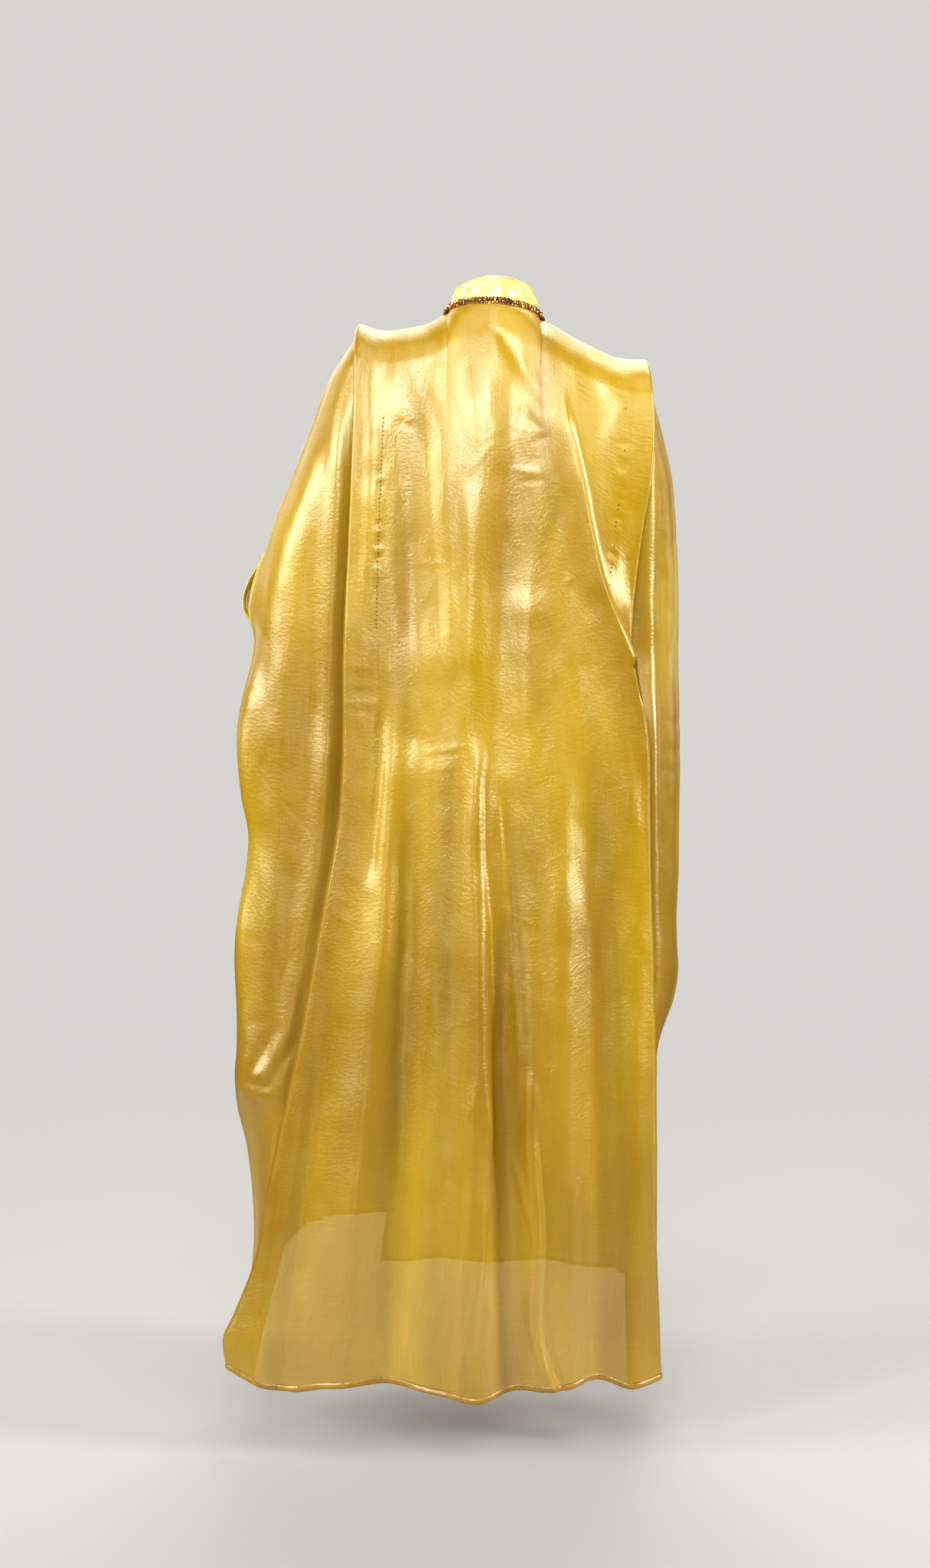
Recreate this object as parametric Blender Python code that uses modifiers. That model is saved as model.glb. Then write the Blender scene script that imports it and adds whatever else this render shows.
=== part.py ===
"""A long sheer kaftan, worn and empty: back, two fronts, two batwing sleeves, stand collar, trim and hems.

Metres, +Z up. The front of the garment faces -Y and the wearer's left is +X.
The origin is at the base of the neck, level with the middle of the back neckline.
"""

import math

import bmesh
import bpy
from mathutils import Vector

# Cloth and seams
WALL = 0.0014
SEAM = 0.0005
HEM_WALL = 0.0024
HEM_HEIGHT = 0.009
BACK_BEND = 0.05
FRONT_BEND = 0.075
SEAM_LAP = 0.012
HEM_GAP = 0.0009
HEM_LEVEL = -1.53
FACE_BOW = 2.2
CLOTH_ROUGHNESS = 0.42

# Where the sleeves start below the shoulder seam, and how far they stay flat behind the fold:
# to this far inside the fold edge, and at least this far inside the sleeve's own outer edge
SLEEVE_START = 0.030
SLEEVE_INSET = 0.007
SLEEVE_BEND = 0.012
FLAT_LEAST = 0.004
SLEEVE_ROUNDNESS = 0.9

# Neck ring, collar and trim
NECK_CENTRE = 0.0035
NECK_HALF_WIDTH = 0.0645
NECK_BACK = 0.055
NECK_FRONT = 0.062
NECK_SIDE_DROP = 0.018
NECK_FRONT_DROP = 0.023
NECK_TILT = 0.004
NECK_OPENING = 0.012
COLLAR_LEAN = 0.22
COLLAR_BACK = 0.036
COLLAR_FRONT = 0.034
COLLAR_LEFT_DIP = 0.010
TRIM_RADIUS = 0.0034

# The shoulder line from the left tip to the right one: distance from the centre, height
SHOULDER_LINE = (
    (0.200, -0.034),
    (0.194, -0.028),
    (0.167, -0.036),
    (0.151, -0.037),
    (0.123, -0.033),
    (0.096, -0.027),
    (0.068, -0.014),
    (-0.061, -0.022),
    (-0.077, -0.028),
    (-0.106, -0.045),
    (-0.136, -0.060),
    (-0.170, -0.075),
    (-0.216, -0.078),
)

# Depth of the back, positive backwards: height, at the middle, at the fold edges
BACK_PROFILE = (
    (0.00, 0.080, 0.062),
    (-0.08, 0.104, 0.086),
    (-0.18, 0.122, 0.104),
    (-0.40, 0.130, 0.112),
    (-0.70, 0.146, 0.117),
    (-1.00, 0.168, 0.122),
    (-1.30, 0.190, 0.128),
    (-1.55, 0.206, 0.132),
)

# Depth of the fronts, positive forwards: height, at the middle, at the fold edges
FRONT_PROFILE = (
    (0.00, 0.070, 0.060),
    (-0.08, 0.086, 0.074),
    (-0.18, 0.112, 0.094),
    (-0.30, 0.126, 0.102),
    (-0.55, 0.124, 0.102),
    (-0.90, 0.140, 0.108),
    (-1.20, 0.156, 0.114),
    (-1.55, 0.172, 0.120),
)

# Left fold of the back: height, fold edge, sewn line of the tuck, space between its layers
BACK_LEFT_FOLD = (
    (-0.034, 0.200, 0.153, 0.0058),
    (-0.114, 0.200, 0.156, 0.0060),
    (-0.330, 0.208, 0.165, 0.0070),
    (-0.500, 0.217, 0.170, 0.0100),
    (-0.610, 0.218, 0.173, 0.0120),
    (-0.730, 0.226, 0.184, 0.0120),
    (-0.840, 0.246, 0.205, 0.0120),
    (-1.050, 0.285, 0.247, 0.0120),
    (-1.250, 0.328, 0.287, 0.0120),
    (-1.370, 0.351, 0.311, 0.0115),
    (-1.440, 0.378, 0.329, 0.0110),
    (-1.485, 0.396, 0.340, 0.0110),
    (-1.530, 0.390, 0.348, 0.0110),
)

# Right fold of the back: height, fold edge, sewn line of the tuck, space between its layers
BACK_RIGHT_FOLD = (
    (-0.078, -0.214, -0.178, 0.0058),
    (-0.180, -0.220, -0.178, 0.0060),
    (-0.247, -0.216, -0.173, 0.0062),
    (-0.308, -0.206, -0.166, 0.0064),
    (-0.403, -0.195, -0.157, 0.0070),
    (-0.500, -0.190, -0.155, 0.0080),
    (-0.640, -0.188, -0.159, 0.0090),
    (-1.000, -0.198, -0.172, 0.0100),
    (-1.550, -0.214, -0.190, 0.0100),
)

# The slanting ridge that becomes the right edge of the back: height, across, how far the gore lies behind it
BACK_RIDGE = (
    (-0.090, -0.086, 0.000),
    (-0.146, -0.094, 0.001),
    (-0.219, -0.111, 0.005),
    (-0.309, -0.129, 0.011),
    (-0.385, -0.146, 0.016),
    (-0.453, -0.172, 0.020),
    (-0.516, -0.193, 0.020),
    (-0.574, -0.209, 0.017),
    (-0.640, -0.217, 0.012),
    (-0.733, -0.218, 0.010),
    (-1.044, -0.227, 0.010),
    (-1.330, -0.233, 0.010),
    (-1.550, -0.242, 0.010),
)
RIDGE_TAKES_OVER = (-0.45, -0.58)

# Front folds: height, left fold edge, right fold edge, tuck depth, space between the layers
FRONT_FOLDS = (
    (-0.034, 0.199, -0.213, 0.042, 0.0058),
    (-0.330, 0.196, -0.204, 0.042, 0.0065),
    (-0.600, 0.204, -0.198, 0.036, 0.0090),
    (-0.900, 0.232, -0.202, 0.032, 0.0100),
    (-1.200, 0.270, -0.210, 0.030, 0.0100),
    (-1.450, 0.300, -0.218, 0.030, 0.0100),
)

# Free edge of the right front, and how far the left front runs behind it: height, across, overlap, space
FRONT_EDGE = (
    (-0.050, 0.0035, 0.000, 0.0000),
    (-0.080, 0.0045, 0.000, 0.0040),
    (-0.250, 0.018, 0.020, 0.0070),
    (-0.700, 0.060, 0.022, 0.0100),
    (-1.100, 0.125, 0.022, 0.0100),
    (-1.450, 0.176, 0.020, 0.0100),
)

# Outer edge of each sleeve and of the side below it: height, across, depth, swell behind, swell in front
LEFT_SLEEVE = (
    (-0.050, 0.201, 0.000, 0.000, 0.000),
    (-0.102, 0.234, 0.000, 0.000, 0.000),
    (-0.164, 0.258, 0.002, 0.004, 0.004),
    (-0.237, 0.285, 0.006, 0.008, 0.006),
    (-0.345, 0.326, 0.012, 0.006, 0.004),
    (-0.488, 0.347, 0.018, 0.000, -0.004),
    (-0.617, 0.373, 0.022, -0.006, -0.012),
    (-0.700, 0.367, 0.024, -0.007, -0.014),
    (-0.760, 0.358, 0.026, -0.008, -0.016),
    (-0.899, 0.376, 0.030, -0.008, -0.018),
    (-1.060, 0.377, 0.032, 0.000, -0.016),
    (-1.115, 0.381, 0.028, 0.004, -0.014),
    (-1.165, 0.377, 0.006, -0.022, -0.012),
    (-1.230, 0.363, -0.008, -0.028, -0.010),
    (-1.360, 0.354, -0.008, -0.020, -0.006),
    (-1.450, 0.362, -0.006, -0.010, 0.000),
    (-1.540, 0.370, -0.006, -0.008, 0.000),
)
RIGHT_SLEEVE = (
    (-0.094, -0.210, -0.002, 0.000, 0.000),
    (-0.180, -0.232, -0.008, 0.000, 0.000),
    (-0.251, -0.248, -0.014, 0.002, 0.002),
    (-0.350, -0.255, -0.020, 0.002, 0.002),
    (-0.490, -0.259, -0.022, 0.000, 0.000),
    (-0.610, -0.262, -0.020, 0.000, -0.002),
    (-0.875, -0.264, -0.018, 0.000, -0.004),
    (-0.950, -0.266, -0.018, 0.000, -0.006),
    (-1.000, -0.259, -0.022, -0.004, -0.006),
    (-1.067, -0.237, -0.024, -0.008, -0.006),
    (-1.300, -0.226, -0.022, -0.008, -0.004),
    (-1.540, -0.230, -0.020, -0.006, 0.000),
)

# Hem of the back: distance from the centre, height
BACK_HEM = (
    (0.385, -1.526),
    (0.335, -1.546),
    (0.300, -1.548),
    (0.240, -1.530),
    (0.152, -1.524),
    (0.080, -1.537),
    (0.027, -1.545),
    (-0.050, -1.532),
    (-0.100, -1.535),
    (-0.140, -1.530),
    (-0.200, -1.545),
    (-0.242, -1.540),
)
LEFT_FRONT_HEM = -1.376
RIGHT_FRONT_HEM = -1.458

# Largest soft folds of the back and fronts, as ridges and troughs along a line:
# top height, top across, bottom height, bottom across, half width at the top and bottom, rise
BACK_FOLDS = (
    (-0.10, 0.060, -0.50, 0.075, 0.030, 0.040, 0.005),
    (-0.22, 0.125, -0.62, 0.112, 0.016, 0.026, -0.006),
    (-0.08, -0.012, -0.40, -0.040, 0.016, 0.030, -0.004),
    (-0.60, 0.148, -1.60, 0.226, 0.020, 0.034, 0.013),
    (-0.62, 0.112, -1.60, 0.160, 0.018, 0.030, -0.012),
    (-0.55, 0.024, -1.60, 0.030, 0.020, 0.034, 0.015),
    (-0.70, -0.006, -1.60, -0.018, 0.020, 0.024, -0.012),
    (-0.85, -0.040, -1.60, -0.074, 0.020, 0.026, 0.013),
    (-0.60, -0.086, -1.50, -0.112, 0.020, 0.026, 0.007),
    (-0.52, -0.135, -1.60, -0.152, 0.026, 0.030, -0.014),
    (-0.90, -0.190, -1.60, -0.196, 0.018, 0.026, 0.008),
    (-1.00, 0.240, -1.60, 0.310, 0.018, 0.028, -0.012),
)
FRONT_SOFT_FOLDS = (
    (-0.30, 0.110, -1.50, 0.190, 0.024, 0.034, 0.010),
    (-0.26, -0.090, -1.60, -0.080, 0.022, 0.034, 0.012),
    (-0.34, -0.020, -1.60, 0.020, 0.020, 0.034, -0.012),
    (-0.40, -0.140, -1.60, -0.150, 0.020, 0.030, -0.010),
    (-0.50, 0.030, -1.60, 0.095, 0.020, 0.032, 0.012),
)

# How the largest folds fade in and out, in shares of their length
FOLD_RUN_IN = 0.10
FOLD_FADE_IN = 0.50
FOLD_RUN_OUT = 0.10
FOLD_FADE_OUT = 0.15

# Cuff openings, on the front of each sleeve's outer edge: middle height, half height, how far the lip
# stands out, and the height at which it stands out most
LEFT_CUFF = (-0.450, 0.115, 0.045, -0.428)
RIGHT_CUFF = (-0.455, 0.105, 0.012, -0.450)
CUFF_BAND = 0.008
CUFF_GAP = 0.0007
CUFF_TAPER = 0.60
CUFF_DRAW_REACH = 3.0
CUFF_DRAW_FADE = 2.0
LIP_ABOVE = 0.070
LIP_BELOW = 0.034
LIP_TURN = 0.66 * math.pi
LIP_SPREAD = 0.45

# How far down the columns of a panel take to spread evenly, from below the neckline
EVEN_BACK = (0.06, 0.30)
EVEN_FRONT = (0.08, 0.30)

# Where the under layer of the left front steps behind the right one, in shares of its width
RECESS_FROM = 0.35
RECESS_OVER = 0.40

# Numbers of columns and rows of each piece
SHOULDER_COLUMNS = 8
NECK_COLUMNS = 10
RIDGE_COLUMNS = 4
GORE_COLUMNS = 3
ARC_STEPS = 3
BACK_ROWS = 30
FRONT_ROWS = 22
FRONT_COLUMNS = 10
SLEEVE_STEPS = 16
SLEEVE_ROWS = 27
CUFF_COLUMNS = (9, 12)
ROW_CROWDING = 1.25
COLLAR_STEPS = 20
COLLAR_ROWS = 3
TRIM_SIDES = 6

GOLD = (0.62, 0.42, 0.10, 1.0)
PALE_GOLD = (0.74, 0.58, 0.26, 1.0)
AMBER = (0.20, 0.09, 0.02, 1.0)


def clamp(value, low=0.0, high=1.0):
    return max(low, min(high, value))


def ease(value):
    """0 below 0, 1 above 1 and a smooth step between."""
    t = clamp(value)
    return t * t * (3 - 2 * t)


def mix(first, second, share):
    return first + (second - first) * share


def along(table, place, column=1):
    """A column of the table, read by a smooth curve at a place in its first column, falling row by row."""
    if place >= table[0][0]:
        return table[0][column]
    if place <= table[-1][0]:
        return table[-1][column]
    k = next(k for k in range(len(table) - 1) if table[k + 1][0] <= place)
    x0, x1 = table[k][0], table[k + 1][0]
    y0, y1 = table[k][column], table[k + 1][column]
    chord = (y1 - y0) / (x1 - x0)
    start = end = chord
    if k > 0:
        before = (y0 - table[k - 1][column]) / (x0 - table[k - 1][0])
        start = 0.0 if before * chord <= 0 else (before + chord) / 2
    if k + 2 < len(table):
        after = (table[k + 2][column] - y1) / (table[k + 2][0] - x1)
        end = 0.0 if after * chord <= 0 else (after + chord) / 2
    t = (place - x0) / (x1 - x0)
    rise = (t - 2 * t**2 + t**3) * start + (t**3 - t**2) * end
    return mix(y0, y1, t * t * (3 - 2 * t)) + rise * (x1 - x0)


def soft_folds(folds, x, height):
    """How far the soft folds lift the cloth outwards here."""
    lift = 0.0
    for top, top_x, bottom, bottom_x, top_width, bottom_width, rise in folds:
        way = (height - top) / (bottom - top)
        ends = ease((way + FOLD_RUN_IN) / FOLD_FADE_IN) * ease((1 + FOLD_RUN_OUT - way) / FOLD_FADE_OUT)
        width = mix(top_width, bottom_width, clamp(way))
        off = (x - mix(top_x, bottom_x, way)) / width
        lift += rise * ends * math.exp(-off * off)
    return lift


def neck_point(angle):
    """The neck ring, from 0 at the back through 90 degrees at the wearer's left."""
    out, back = math.sin(angle), math.cos(angle)
    depth = NECK_BACK if back > 0 else NECK_FRONT
    rise = NECK_SIDE_DROP * back if back > 0 else -NECK_FRONT_DROP * back * back
    height = NECK_TILT * out - NECK_SIDE_DROP + rise
    return Vector((NECK_CENTRE + NECK_HALF_WIDTH * out, depth * back, height))


def top_point(x, side):
    """The shoulder line and the neck ring, for the back (side 1) or a front (side -1)."""
    off = (x - NECK_CENTRE) / NECK_HALF_WIDTH
    if abs(off) >= 1:
        return Vector((x, side * SEAM / 2, along(SHOULDER_LINE, x)))
    angle = math.asin(off)
    ring = neck_point(angle if side > 0 else math.pi - angle)
    return Vector((x, side * max(side * ring.y, SEAM / 2), ring.z))


def fall(top, bottom, share, side, start=0.0):
    """Height and turn of cloth that bends over the shoulder and then hangs, at a share of its length."""
    bend = BACK_BEND if side > 0 else FRONT_BEND
    quarter = bend * math.pi / 2
    length = quarter + top - bend - bottom
    run = start + share * (length - start)
    turn = clamp(run / bend, 0.0, math.pi / 2)
    height = top - bend * (1 - math.cos(turn)) - max(run - quarter, 0.0)
    return height, turn


def bowed(profile, x, height, left, right):
    """Depth of a bowed face between its left and right edges."""
    off = (x - (left + right) / 2) / ((left - right) / 2)
    middle, edge = along(profile, height, 1), along(profile, height, 2)
    return mix(middle, edge, min(abs(off), 1.1) ** FACE_BOW)


def back_depth(x, height):
    left = along(BACK_LEFT_FOLD, height)
    right = min(along(BACK_RIGHT_FOLD, height), along(BACK_RIDGE, height))
    return bowed(BACK_PROFILE, x, height, left, right) + soft_folds(BACK_FOLDS, x, height)


def front_depth(x, height):
    left, right = along(FRONT_FOLDS, height, 1), along(FRONT_FOLDS, height, 2)
    return bowed(FRONT_PROFILE, x, height, left, right) + soft_folds(FRONT_SOFT_FOLDS, x, height)


def hang(x, behind, height, turn, side, top):
    """A point of the back (side 1) or front (side -1), a distance behind its outer face."""
    depth = back_depth(x, height) if side > 0 else front_depth(x, height)
    out = mix(side * top.y, depth, math.sin(turn)) - behind * math.sin(turn)
    return Vector((x, side * out, height - behind * math.cos(turn)))


def half_turn(edge, inward, behind, space):
    """Points round a fold edge, from the nearer layer to the one behind it, as (across, behind)."""
    middle = edge + inward * space / 2
    points = []
    for step in range(ARC_STEPS + 1):
        angle = math.pi * step / ARC_STEPS
        lap = middle - inward * math.sin(angle) * space / 2
        points.append((lap, behind + (1 - math.cos(angle)) * space / 2))
    return points


def tucked_edge(edge, tuck, inward, behind, space):
    """The fold edge, the hidden turn at the tuck and the seam edge, as (across, behind)."""
    hidden = half_turn(tuck, -inward, behind + space, space)
    seam = (tuck - inward * SEAM_LAP, behind + 2 * space)
    return half_turn(edge, inward, behind, space) + hidden + [seam]


def back_column_shares():
    """How the columns between the left fold and the ridge share that width at the top, to meet the neck."""
    left, right = BACK_LEFT_FOLD[0][1], BACK_RIDGE[0][1]
    neck_left, neck_right = NECK_CENTRE + NECK_HALF_WIDTH, NECK_CENTRE - NECK_HALF_WIDTH
    places = [mix(left, neck_left, k / SHOULDER_COLUMNS) for k in range(SHOULDER_COLUMNS)]
    for k in range(NECK_COLUMNS):
        angle = math.pi * (0.5 - k / NECK_COLUMNS)
        places.append(NECK_CENTRE + NECK_HALF_WIDTH * math.sin(angle))
    places += [mix(neck_right, right, k / RIDGE_COLUMNS) for k in range(RIDGE_COLUMNS)]
    return [(left - x) / (left - right) for x in places[1:]]


BACK_SHARES = back_column_shares()


def back_section(height):
    """The back at one height from its left seam to its right one, as (across, behind the outer face)."""
    edge, tuck, space = (along(BACK_LEFT_FOLD, height, column) for column in (1, 2, 3))
    section = list(reversed(tucked_edge(edge, tuck, -1, 0.0, space)))
    start = section[-1][0]
    ridge, recess = along(BACK_RIDGE, height, 1), along(BACK_RIDGE, height, 2)
    even = ease((-height - EVEN_BACK[0]) / EVEN_BACK[1])
    count = len(BACK_SHARES) + 1
    for k, share in enumerate(BACK_SHARES, 1):
        section.append((mix(start, ridge, mix(share, k / count, even)), 0.0))
    return section + right_edge(height, ridge, recess)


def right_edge(height, ridge, recess):
    """The ridge, the gore behind it and the right tuck. Lower down the ridge itself is the fold edge."""
    edge, tuck, space = (along(BACK_RIGHT_FOLD, height, column) for column in (1, 2, 3))
    upper = [(ridge, 0.0)]
    for k in range(1, GORE_COLUMNS + 1):
        share = k / (GORE_COLUMNS + 1)
        upper.append((mix(ridge, edge + space / 2, share), recess * ease(share)))
    upper += tucked_edge(edge, tuck, 1, recess, space)
    lower = half_turn(ridge, 1, 0.0, space)
    last = tuck - space
    for k in range(1, ARC_STEPS + 2):
        lower.append((mix(ridge + space / 2, last, k / (ARC_STEPS + 2)), space))
    lower += half_turn(tuck, -1, space, space)
    lower.append((tuck - SEAM_LAP, 2 * space))
    blend = ease((height - RIDGE_TAKES_OVER[0]) / (RIDGE_TAKES_OVER[1] - RIDGE_TAKES_OVER[0]))
    return [(mix(a[0], b[0], blend), mix(a[1], b[1], blend)) for a, b in zip(upper, lower)]


BACK_LAST = len(back_section(0.0)) - 1


def back_place(column, share):
    x = back_section(0.0)[column][0]
    top = top_point(x, 1)
    bottom_x = back_section(HEM_LEVEL)[column][0]
    bottom = along(BACK_HEM, bottom_x) + HEM_HEIGHT + HEM_GAP
    height, turn = fall(top.z, bottom, share, 1)
    across, behind = back_section(height)[column]
    return hang(across, behind, height, turn, 1, top)


def front_edge_of(height, is_left):
    """Free edge of a front and how far it lies behind the other one."""
    edge, overlap, space = (along(FRONT_EDGE, height, column) for column in (1, 2, 3))
    if is_left:
        return edge - overlap + SEAM / 2, space
    return edge - SEAM / 2, 0.0


def front_section(height, is_left):
    """A front at one height from its side seam to its free edge, as (across, behind the outer face)."""
    side = 1 if is_left else -1
    edge = along(FRONT_FOLDS, height, 1 if is_left else 2)
    tuck = edge - side * along(FRONT_FOLDS, height, 3)
    space = along(FRONT_FOLDS, height, 4)
    section = list(reversed(tucked_edge(edge, tuck, -side, 0.0, space)))
    start = section[-1][0]
    end, recess = front_edge_of(height, is_left)
    neck_side = NECK_CENTRE + side * NECK_HALF_WIDTH
    even = ease((-height - EVEN_FRONT[0]) / EVEN_FRONT[1])
    half = FRONT_COLUMNS // 2
    for k in range(1, FRONT_COLUMNS + 1):
        if k <= half:
            near_top = mix(start, neck_side, k / half)
        else:
            angle = math.pi / 2 * (k - half) / (FRONT_COLUMNS - half)
            near_top = mix(neck_side, end, 1 - math.cos(angle))
        x = mix(near_top, mix(start, end, k / FRONT_COLUMNS), even)
        near_edge = ease((k / FRONT_COLUMNS - RECESS_FROM) / RECESS_OVER)
        section.append((x, recess * near_edge))
    return section


FRONT_LAST = len(front_section(0.0, True)) - 1


def front_place(column, share, is_left):
    x = front_section(0.0, is_left)[column][0]
    top = top_point(x, -1)
    hem = LEFT_FRONT_HEM if is_left else RIGHT_FRONT_HEM
    height, turn = fall(top.z, hem + HEM_HEIGHT + HEM_GAP, share, -1)
    across, behind = front_section(height, is_left)[column]
    return hang(across, behind, height, turn, -1, top)


def sleeve_anchor(share, is_left, face, at_seam):
    """The flat start of a sleeve behind the back (face 1) or front (face -1), at its seam or at its bend."""
    side = 1 if is_left else -1
    tip = SHOULDER_LINE[0 if is_left else -1]
    if face > 0:
        hem = along(BACK_HEM, side * 1.0)
    else:
        hem = LEFT_FRONT_HEM if is_left else RIGHT_FRONT_HEM
    height, turn = fall(tip[1], hem + HEM_HEIGHT + HEM_GAP, share, face, SLEEVE_START)
    edge, tuck, behind = hidden_layer(height, is_left, face)
    seam = tuck + side * (SEAM_LAP + SEAM)
    outer = along(LEFT_SLEEVE if is_left else RIGHT_SLEEVE, height)
    flat_end = side * min(side * edge - SLEEVE_INSET, max(side * outer - SLEEVE_BEND, side * seam + FLAT_LEAST))
    across = seam if at_seam else flat_end
    top = Vector((across, face * SEAM / 2, tip[1]))
    return hang(across, behind, height, turn, face, top)


def hidden_layer(height, is_left, face):
    """Fold edge, tuck and depth of the hidden layer that a sleeve continues."""
    if face < 0:
        edge = along(FRONT_FOLDS, height, 1 if is_left else 2)
        tuck = edge - (1 if is_left else -1) * along(FRONT_FOLDS, height, 3)
        return edge, tuck, 2 * along(FRONT_FOLDS, height, 4)
    section = back_section(height)
    seam = section[0] if is_left else section[-1]
    side = 1 if is_left else -1
    edge = max(side * across for across, _ in section) * side
    return edge, seam[0] - side * SEAM_LAP, seam[1]


SLEEVE_LAST = SLEEVE_STEPS + 2


def sleeve_place(column, share, is_left):
    """Columns run from the back seam, round the outer edge, to the front seam."""
    table = LEFT_SLEEVE if is_left else RIGHT_SLEEVE
    if column in (0, SLEEVE_LAST):
        return sleeve_anchor(share, is_left, 1 if column == 0 else -1, True)
    hem = LEFT_FRONT_HEM if is_left else RIGHT_FRONT_HEM
    bottom = (along(BACK_HEM, 1.0 if is_left else -1.0) + hem) / 2 + HEM_HEIGHT + HEM_GAP
    outer_height = mix(table[0][0], bottom, share)
    around = math.pi * (tapered(column, outer_height, is_left) - 1) / SLEEVE_STEPS
    face = 1 if around <= math.pi / 2 else -1
    anchor = sleeve_anchor(share, is_left, face, False)
    out, across_face = math.sin(around), abs(math.cos(around))
    height = mix(anchor.z, outer_height, out)
    edge, depth, swell_back, swell_front = (along(table, height, k) for k in (1, 2, 3, 4))
    side = 1 if is_left else -1
    x = mix(anchor.x, edge, out**SLEEVE_ROUNDNESS)
    x += side * cuff_lip(around, height, is_left)
    swell = (swell_back if face > 0 else swell_front) * math.sin(2 * around) ** 2
    y = mix(depth, anchor.y, across_face**SLEEVE_ROUNDNESS) + face * swell
    return Vector((x, y, height))


def tapered(column, height, is_left):
    """The column's place round the sleeve: columns draw together at the ends of the cuff opening."""
    middle, half, _, _ = LEFT_CUFF if is_left else RIGHT_CUFF
    way = abs(height - middle) / half
    draw = 1 - math.sqrt(1 - way * way) if way < 1 else math.exp(-(way - 1) / CUFF_DRAW_FADE)
    centre = sum(CUFF_COLUMNS) / 2
    off = column - centre
    return centre + off * (1 - CUFF_TAPER * draw * math.exp(-((off / CUFF_DRAW_REACH) ** 2)))


def cuff_lip(around, height, is_left):
    """How far the front lip of the cuff opening stands out."""
    _, _, stand, peak = LEFT_CUFF if is_left else RIGHT_CUFF
    reach = LIP_ABOVE if height > peak else LIP_BELOW
    near = math.exp(-(((height - peak) / reach) ** 2))
    off = (around - LIP_TURN) / LIP_SPREAD
    return stand * near * math.exp(-off * off)


def collar_height(angle):
    """Height of the collar above the neck ring: tall at the back and right, lower at the left."""
    height = mix(COLLAR_FRONT, COLLAR_BACK, 0.5 + 0.5 * math.cos(angle))
    return height - COLLAR_LEFT_DIP * ease(math.sin(angle))


def neck_span(column):
    """Angle of a column of the collar or trim, on the columns of the panels. They are open at the front."""
    gap = NECK_OPENING / 2 / NECK_FRONT
    angle = math.pi * (1 - 2 * column / COLLAR_STEPS)
    return clamp(angle, gap - math.pi, math.pi - gap)


def collar_place(column, row):
    angle = neck_span(column)
    base = neck_point(angle)
    rise = WALL / 2 + SEAM + collar_height(angle) * row / COLLAR_ROWS
    inward = Vector((-math.sin(angle), -math.cos(angle), 0)) * COLLAR_LEAN * rise
    return base + inward + Vector((0, 0, rise))


def trim_place(column, row):
    """The trim is a slim roll that lies in the corner between the collar and the neckline."""
    angle = neck_span(column)
    clear = TRIM_RADIUS + WALL / 2 + SEAM
    outward = Vector((math.sin(angle), math.cos(angle), 0))
    middle = neck_point(angle) + outward * clear + Vector((0, 0, clear))
    turn = 2 * math.pi * row / TRIM_SIDES
    return middle + (outward * math.cos(turn) + Vector((0, 0, math.sin(turn)))) * TRIM_RADIUS


def row_share(row, rows):
    """Rows lie closer together near the shoulders."""
    return (row / rows) ** ROW_CROWDING


def grid_mesh(name, columns, rows, place, skip=None):
    """A sheet of cloth as a grid whose points place(column, row) sets, without the skipped cells."""
    shape = bmesh.new()
    bmesh.ops.create_grid(shape, x_segments=columns, y_segments=rows, size=0.5)
    for face in list(shape.faces):
        middle = face.calc_center_median()
        cell = (int((middle.x + 0.5) * columns), int((middle.y + 0.5) * rows))
        if skip and skip(*cell):
            shape.faces.remove(face)
    for vertex in list(shape.verts):
        if not vertex.link_faces:
            shape.verts.remove(vertex)
            continue
        column = round((vertex.co.x + 0.5) * columns)
        row = round((vertex.co.y + 0.5) * rows)
        vertex.co = place(column, row)
    mesh = bpy.data.meshes.new(name)
    shape.to_mesh(mesh)
    shape.free()
    return mesh


def cloth(name, mesh, wall, colour, collection):
    """An object of this mesh, given a wall on both sides of its surface."""
    mesh.shade_smooth()
    material = bpy.data.materials.new(name)
    material.use_nodes = True
    shader = material.node_tree.nodes["Principled BSDF"]
    shader.inputs["Base Color"].default_value = colour
    shader.inputs["Roughness"].default_value = CLOTH_ROUGHNESS
    shader.inputs["Metallic"].default_value = 0.0
    mesh.materials.append(material)
    piece = bpy.data.objects.new(name, mesh)
    collection.objects.link(piece)
    if wall:
        solid = piece.modifiers.new("wall", "SOLIDIFY")
        solid.thickness = wall
        solid.offset = 0.0
    return piece


def add_panel(name, columns, rows, place, collection, skip=None):
    """A panel and the rolled hem below it, each as its own piece."""
    body = grid_mesh(name, columns, rows, lambda c, r: place(c, row_share(r, rows)), skip)
    cloth(name, body, WALL, GOLD, collection)

    def hem_place(column, row):
        length = (place(column, 1.0) - place(column, 0.99)).length / 0.01
        return place(column, 1.0 + (HEM_GAP + row * HEM_HEIGHT) / length)

    hem = grid_mesh(f"hem_{name}", columns, 1, hem_place)
    cloth(f"hem_{name}", hem, HEM_WALL, PALE_GOLD, collection)


def cuff_rows(is_left):
    """First and last row of the cuff opening in the sleeve's grid."""
    middle, half, _, _ = LEFT_CUFF if is_left else RIGHT_CUFF
    column = sum(CUFF_COLUMNS) // 2
    heights = [sleeve_place(column, row_share(r, SLEEVE_ROWS), is_left).z for r in range(SLEEVE_ROWS + 1)]
    inside = [r for r, height in enumerate(heights) if abs(height - middle) <= half]
    return inside[0], inside[-1]


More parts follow.
